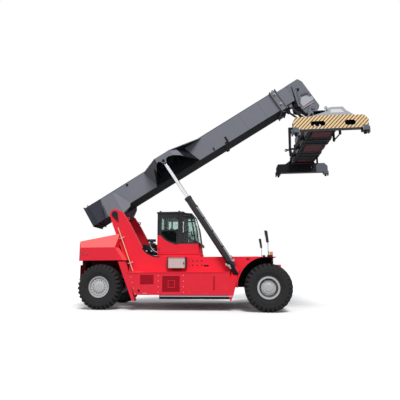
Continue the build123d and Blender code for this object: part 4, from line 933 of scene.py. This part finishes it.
# roof: panel with ribs and a beacon's foot
slab(spot(-3.62, 0, 3.728), (0.95, 1.35, 0.012))
for y in (-0.5, -0.25, 0.0, 0.25, 0.5):
    slab(spot(-3.62, y, 3.738), (0.9, 0.05, 0.014))
lathe(spot(-3.28, 0.45, 3.725), up, [(0, 0.06), (0.012, 0.06), (0.02, 0.045), (0.04, 0.042)], 24)
make("roof_ribs", "chassis", "cab_grey", edge=0.004)

# inside: side consoles, rear shelf, dash, ceiling and floor; joystick, monitor and pedals
cabLining = ((-3.55, -0.4, 2.46, (0.55, 0.16, 0.3)), (-3.55, 0.4, 2.46, (0.55, 0.16, 0.3)),
             (-3.98, 0, 2.4, (0.24, 1.3, 0.55)), (-2.82, 0, 2.5, (0.22, 1.2, 0.2)),
             (-3.45, 0, 3.648, (1.2, 1.36, 0.03)), (-3.0, 0, 2.112, (0.6, 1.3, 0.02)))
for *place, size in cabLining:
    slab(spot(*place), size)
make("cab_lining", "chassis", "cab_plastic", "trim", edge=0.008)
pipe([spot(-3.36, -0.4, 2.6), spot(-3.35, -0.4, 2.74), spot(-3.37, -0.4, 2.8)], 0.014, 0.03)
lathe(spot(-3.37, -0.4, 2.79), (-0.1, 0, 1), [(0, 0.02), (0.02, 0.032), (0.07, 0.034), (0.1, 0.022)], 20)
slab(spot(-2.86, -0.42, 2.86), (0.03, 0.24, 0.18), (1, 0, 0.2), (-0.2, 0, 1))
rod(spot(-2.85, -0.42, 2.58), spot(-2.85, -0.42, 2.8), 0.015, 12)
for y in (-0.16, 0.02):
    slab(spot(-2.86, y, 2.145), (0.1, 0.09, 0.015), (1, 0, 0.5), (-0.5, 0, 1))
    rod(spot(-2.83, y, 2.1), spot(-2.84, y, 2.15), 0.012, 8)
make("cab_controls", "chassis", "cab_plastic", edge=0.003)
print("cab pieces done")

# seat: cushion and back as stuffed pads with sewn channels, on a plain base
padForm = {"across": 28, "deep": 20, "pull": 0.016, "channel": 0.045, "channels": (-0.5, 0.0, 0.5),
           "sink": 0.008,
           "fill": 0.8}


def pad(name, centre, size, crown, turn=0.0):
    # crowned closed form whose sides pull in between its corners
    across, deep = padForm["across"], padForm["deep"]
    length, width, height = size

    def corner(u, v, w):
        pull = padForm["pull"] * (math.cos(u * math.pi / 2) if abs(v) > 0.98 else 0)
        rounded = 1 - abs(u) ** 8 * abs(v) ** 8 * 0.05
        lift = crown * (1 - u ** 4) * (1 - v ** 4) * (1 if w > 0 else 0.15)
        if w > 0:
            lift -= sum(padForm["sink"] * math.exp(-((u - place) / padForm["channel"]) ** 2)
                        for place in padForm["channels"])
        side = math.sqrt(max(0.0, 1 - max(abs(u), abs(v)) ** 10 * 0.35))
        return Vector((u * length / 2 * rounded, v * (width / 2 - pull) * rounded,
                       w * (height / 2 * side + lift)))

    work = bmesh.new()
    grid = {(level, i, j): work.verts.new(corner(2 * i / across - 1, 2 * j / deep - 1, level))
            for level in (-1, 1) for i in range(across + 1) for j in range(deep + 1)}
    for level in (-1, 1):
        for i in range(across):
            for j in range(deep):
                ring = [grid[level, i, j], grid[level, i + 1, j], grid[level, i + 1, j + 1],
                        grid[level, i, j + 1]]
                work.faces.new(ring if level > 0 else ring[::-1])
    edge = ([(i, 0) for i in range(across)] + [(across, j) for j in range(deep)]
            + [(i, deep) for i in range(across, 0, -1)] + [(0, j) for j in range(deep, 0, -1)])
    for (i, j), (k, m) in zip(edge, edge[1:] + edge[:1]):
        work.faces.new([grid[-1, i, j], grid[-1, k, m], grid[1, k, m], grid[1, i, j]])
    bmesh.ops.recalc_face_normals(work, faces=work.faces)
    data = bpy.data.meshes.new(name)
    work.to_mesh(data)
    work.free()
    data.transform(Matrix.Translation(centre) @ Matrix.Rotation(turn, 4, "Y"))
    data.polygons.foreach_set("use_smooth", [True] * len(data.polygons))
    piece = put(name, data)
    data.materials.append(finish["weave"].material)
    rounding = piece.modifiers.new("soft", "SUBSURF")
    rounding.levels = rounding.render_levels = 1
    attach(piece, "chassis")


pad("seat_cushion", spot(-3.565, 0, 2.435), (0.54, 0.5, 0.12), 0.022)
pad("seat_back", spot(-3.775, 0, 2.83), (0.6, 0.46, 0.1), 0.02, turn=-math.radians(82))
seatX = middle("operator_seat").x + 0.06
slab((seatX, 0, 2.235), (0.4, 0.36, 0.26))
slab((seatX, 0, 2.365), (0.5, 0.44, 0.03))
for y in (-0.2511, 0.2511):
    slab(spot(-3.6, y, 2.4), (0.46, 0.03, 0.06))
base = make("seat_base", "chassis", "cab_plastic", edge=0.01)
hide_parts("operator_seat")
print("seat done")

# body sides: service holes and plate, filler cap, bolt rows and handles
bodyForm = {"plate": -0.95, "boxFace": -1.75, "boltX": (-3.912, -3.0), "boltZ": (1.25, 1.05, 0.85, 0.655),
            "slanted": ((-4.936, 1.2), (-4.88, 1.0), (-4.824, 0.8), (-4.768, 0.6)), "bolt": 0.012,
            "hole": 0.026}
for x in (-2.757, -2.59, -2.42):
    for z in (1.77, 1.61):
        lathe(spot(x, bodyForm["plate"] + 0.001, z), right,
              [(-0.002, bodyForm["hole"]), (0.002, bodyForm["hole"])], 16)
slab(spot(-2.246, bodyForm["plate"] - 0.001, 1.591), (0.15, 0.004, 0.055))
for x in (-2.32, -2.17):
    lathe(spot(x, bodyForm["plate"] + 0.001, 1.591), right, [(-0.002, 0.0275), (0.003, 0.0275)], 16)
lathe(spot(-4.628, -1.772, 0.728), right, [(0, 0.04), (0.01, 0.04), (0.016, 0.03)], 24)
makeBoth("body_seams", "chassis", "dark_steel", "black")
for x in bodyForm["boltX"]:
    for z in bodyForm["boltZ"]:
        bolt(spot(x, bodyForm["boxFace"], z), right, bodyForm["bolt"])
for place in onSide(bodyForm["boxFace"], *bodyForm["slanted"]):
    bolt(place, right, bodyForm["bolt"])
grip(spot(-4.47, -1.745, 0.62), right * 0.045, (0.14, 0, 0), 0.009, 0.02)
makeBoth("body_bolts", "chassis", "rim_silver", edge=0.001)
grip(spot(-1.9, -1.715, 0.74), right * 0.06, (0, 0, 0.48), 0.014, 0.04)
makeBoth("body_handles", "chassis", "machine_red", edge=0.004)

# cabinet: black flanks and top, cable glands, door seam and latch
cabinet = {"flank": 0.016, "seam": 0.02, "glands": 6, "first": 0.16, "step": 0.065,
           "gland": [(-0.01, 0.02), (0.03, 0.02), (0.045, 0.012), (0.07, 0.011)]}
low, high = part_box("electric_cabinet")
centre = (low + high) / 2
for x in (low.x - cabinet["flank"], high.x + cabinet["flank"]):
    slab((x, centre.y + 0.02, centre.z + 0.01), (0.05, 0.15, high.z - low.z + 0.03))
slab((centre.x, centre.y, high.z + 0.008), (high.x - low.x, 0.17, 0.014))
for index in range(cabinet["glands"]):
    lathe((low.x + cabinet["first"] + index * cabinet["step"], centre.y, low.z + 0.004), -up,
          cabinet["gland"], 12)
make("cabinet_flanks", "chassis", "dark_steel", "black", edge=0.003)
y = low.y - 0.0015
x0, x1 = low.x + cabinet["seam"], high.x - cabinet["seam"]
z0, z1 = low.z + cabinet["seam"], high.z - cabinet["seam"]
for first, second in (((x0, z0), (x1, z0)), ((x0, z1), (x1, z1)), ((x0, z0), (x0, z1)), ((x1, z0), (x1, z1))):
    strip(Vector((first[0], y, first[1])), Vector((second[0], y, second[1])), 0.005, 0.004)
slab((high.x - 0.05, y - 0.008, centre.z), (0.025, 0.02, 0.07))
make("cabinet_seams", "chassis", "cab_plastic")

# engine bay: rim of the opening and ducts as (y, line, radius, sides), pipes and clamps, filter bands
rimLine = ((-4.74, 2.3), (-4.66, 2.18), (-4.553, 2.091), (-4.33, 1.98), (-4.1, 1.935))
baySweeps = ((-0.945, rimLine, 0.022, 8), (-0.825, rimLine, 0.022, 8),
             (-0.78, ((-4.56, 2.26), (-4.46, 2.2), (-4.38, 2.1), (-4.24, 2.03)), 0.065, 14),
             (-0.66, ((-4.4, 2.44), (-4.28, 2.4), (-4.22, 2.3), (-4.2, 2.1)), 0.045, 12))
bayPipes = (((-4.66, -0.9, 2.16), (-4.52, -0.9, 2.06), (-4.36, -0.9, 1.99), (-4.14, -0.9, 1.975)),
            ((-4.5, -0.7, 2.44), (-4.42, -0.86, 2.3), (-4.28, -0.88, 2.16), (-4.16, -0.88, 2.12)))
for y, line, radius, count in baySweeps:
    sweep(onSide(y, *line), radius, count)
makeBoth("bay_rim_and_ducts", "chassis", "dark_steel", "black", smooth=60)
for run in bayPipes:
    pipe([spot(*corner) for corner in run], 0.019, 0.08)
for x in (-4.575, -4.38):
    slab(spot(x, -0.91, 2.17), (0.06, 0.05, 0.05))
make("bay_pipes", "chassis", "stand_silver", "tube")
low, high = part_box("air_intake")
for z in (low.z + 0.12, high.z - 0.16):
    lathe(((low.x + high.x) / 2, (low.y + high.y) / 2, z), up, [(-0.012, 0.145), (0.012, 0.145)], 28)
make("intake_bands", "chassis", "rim_silver", "nut")

# lift cylinders: gland rings, port fittings, feed pipes and dark feet
barrelFoot = Vector(joints["lift_barrel_swing"]["pos_m"])
barrelAlong = Vector(joints["lift_rod_slide"]["axis"]).normalized()
barrelOut = Vector((-barrelAlong.z, 0, barrelAlong.x))
barrelTop = (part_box("lift_barrels")[1].z - barrelFoot.z) / barrelAlong.z - 0.02
cylinderForm = {"y": -1.11, "line": Vector((0, -0.105, 0)) - barrelOut * 0.1, "ports": (0.36, 0.52),
                "clamps": (1.0, 1.7, 2.3),
                "gland": [(0, 0.1), (0, 0.138), (0.004, 0.142), (0.045, 0.142), (0.049, 0.138), (0.049, 0.1)],
                "ring": [(0, 0.11), (0, 0.136), (0.003, 0.139), (0.05, 0.139), (0.053, 0.136), (0.053, 0.11)],
                "foot": ((-1.533, 1.724), (-1.366, 1.76), (-1.2, 1.59), (-1.02, 1.29), (-1.075, 1.235),
                         (-1.215, 1.262), (-1.385, 1.504))}


def onBarrel(distance):
    return barrelFoot + Vector((0, cylinderForm["y"], 0)) + barrelAlong * distance


lathe(onBarrel(barrelTop - 0.11), barrelAlong, cylinderForm["gland"], 32, closed=True)
for turn in turns(8):
    rim = barrelOut * math.cos(turn) + left * math.sin(turn)
    bolt(onBarrel(barrelTop - 0.06) + rim * 0.12, barrelAlong, 0.011)
lathe(onBarrel(0.3), barrelAlong, cylinderForm["ring"], 32, closed=True)
makeBoth("cylinder_glands", "lift_barrels", "cylinder_grey")
for distance in cylinderForm["ports"]:
    # ports stand on the barrel's forward side
    start = onBarrel(distance) - barrelOut * 0.11 + right * 0.05
    slab(start - barrelOut * 0.02, (0.09, 0.08, 0.09), barrelAlong, barrelOut)
    rod(start, start - barrelOut * 0.09, 0.026, 12, 0.004)
line = cylinderForm["line"]
pipe([onBarrel(0.38) + line * 0.8, onBarrel(0.48) + line, onBarrel(barrelTop - 0.7) + line,
            onBarrel(barrelTop - 0.6) + line * 0.8], 0.017, 0.06)
lathe(spot(-1.369, -1.262, 1.577), right, [(-0.01, 0.05), (0.03, 0.05), (0.04, 0.038)], 16)
rod(spot(-1.369, -1.285, 1.577), spot(-1.3, -1.285, 1.47), 0.03, 12, 0.004)
slab(spot(-1.46, -1.275, 1.63), (0.1, 0.03, 0.06), (1, 0, -1), (1, 0, 1))
makeBoth("cylinder_ports", "lift_barrels", "head_grey", "nut")
for distance in cylinderForm["clamps"]:
    slab(onBarrel(distance) + line, (0.05, 0.05, 0.05), barrelAlong, barrelOut)
prism(onSide(-1.262, *cylinderForm["foot"]), left * 0.03)
makeBoth("cylinder_feet", "lift_barrels", "dark_steel", "black", edge=0.004)
print("body pieces done")

# front fenders: wedge panel, and a liner between the arch and the tyres
arch = {"centre": 0.83, "outer": 1.055, "inner": 0.7, "y": -1.001, "thick": 0.003,
        "front": [(-0.2, 1.85), (0.27, 1.85), (0.27, 1.48)]}


def archArc(radius, degrees):
    return [(-radius * math.cos(math.radians(a)), arch["centre"] + radius * math.sin(math.radians(a)))
            for a in degrees]


prism(onSide(-0.953, (-0.737, 1.862), (-0.5, 1.835), (-0.6, 1.735)), right * 0.01)
liner = archArc(arch["outer"], range(0, 71, 10)) + arch["front"] + archArc(arch["inner"], range(80, -1, -10))
prism(onSide(arch["y"], *liner), right * arch["thick"])
makeBoth("fender_trim", "chassis", "dark_steel", "black", edge=0.003)

# running boards' rails, tread plates and ribs
boardForm = {"ribs": 26, "inset": 0.12}
low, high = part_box("running_boards")
length, boardX = high.x - low.x, (low.x + high.x) / 2
slab((boardX, low.y - 0.006, high.z - 0.035), (length - 0.05, 0.012, 0.035))
slab((boardX + 0.3, low.y + 0.16, high.z + 0.006), (length - 0.8, 0.28, 0.008))
makeBoth("running_board_rails", "chassis", "stand_silver", "tube", edge=0.002)
for index in range(boardForm["ribs"]):
    x = low.x + boardForm["inset"] + index * (length - 2 * boardForm["inset"]) / (boardForm["ribs"] - 1)
    slab((x, low.y + 0.1, low.z + 0.012), (0.02, 0.16, 0.02))
makeBoth("running_board_ribs", "chassis", "dark_steel", "black")

# mirrors' glasses and shells, rear lamp panels
low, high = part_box("mirror_heads")
slab((low.x + 0.012, low.y + 0.09, (low.z + high.z) / 2), (0.006, 0.15, high.z - low.z - 0.1), (1, 0, 0.07),
           (-0.07, 0, 1))
makeBoth("mirror_glasses", "chassis", "stand_silver", "mirror", edge=0.002)
slab(spot(-0.005, -1.95, 2.59), (0.085, 0.185, 0.4), (1, 0, 0.1), (-0.1, 0, 1))
makeBoth("mirror_shells", "chassis", "cab_plastic", edge=0.012)
slab(spot(-6.915, -1.505, 2.07), (0.11, 0.012, 0.1))
finish["tail"] = sprayed("tailRed", coat["lampRed"], 0.25, 0.5, 0.0)
makeBoth("rear_lamp_panels", "chassis", "lamp_amber", "tail", edge=0.004)

# counterweight: rear louvres, the tow pin and its block
louvres = {"count": 9, "low": 1.98, "step": 0.055}
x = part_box("counterweight")[0].x
for index in range(louvres["count"]):
    slab((x - 0.001, 0, louvres["low"] + index * louvres["step"]), (0.03, 1.35, 0.014), (1, 0, 0.5),
         (-0.5, 0, 1))
slab((x + 0.004, 0, 2.2), (0.012, 1.45, 0.6))
slab((x + 0.06, 0, 1.4), (0.16, 0.24, 0.2))
rod((x + 0.02, 0, 1.26), (x + 0.02, 0, 1.56), 0.022, 16)
make("rear_louvres", "chassis", "dark_steel", "black", edge=0.002)
print("fender and rear pieces done")
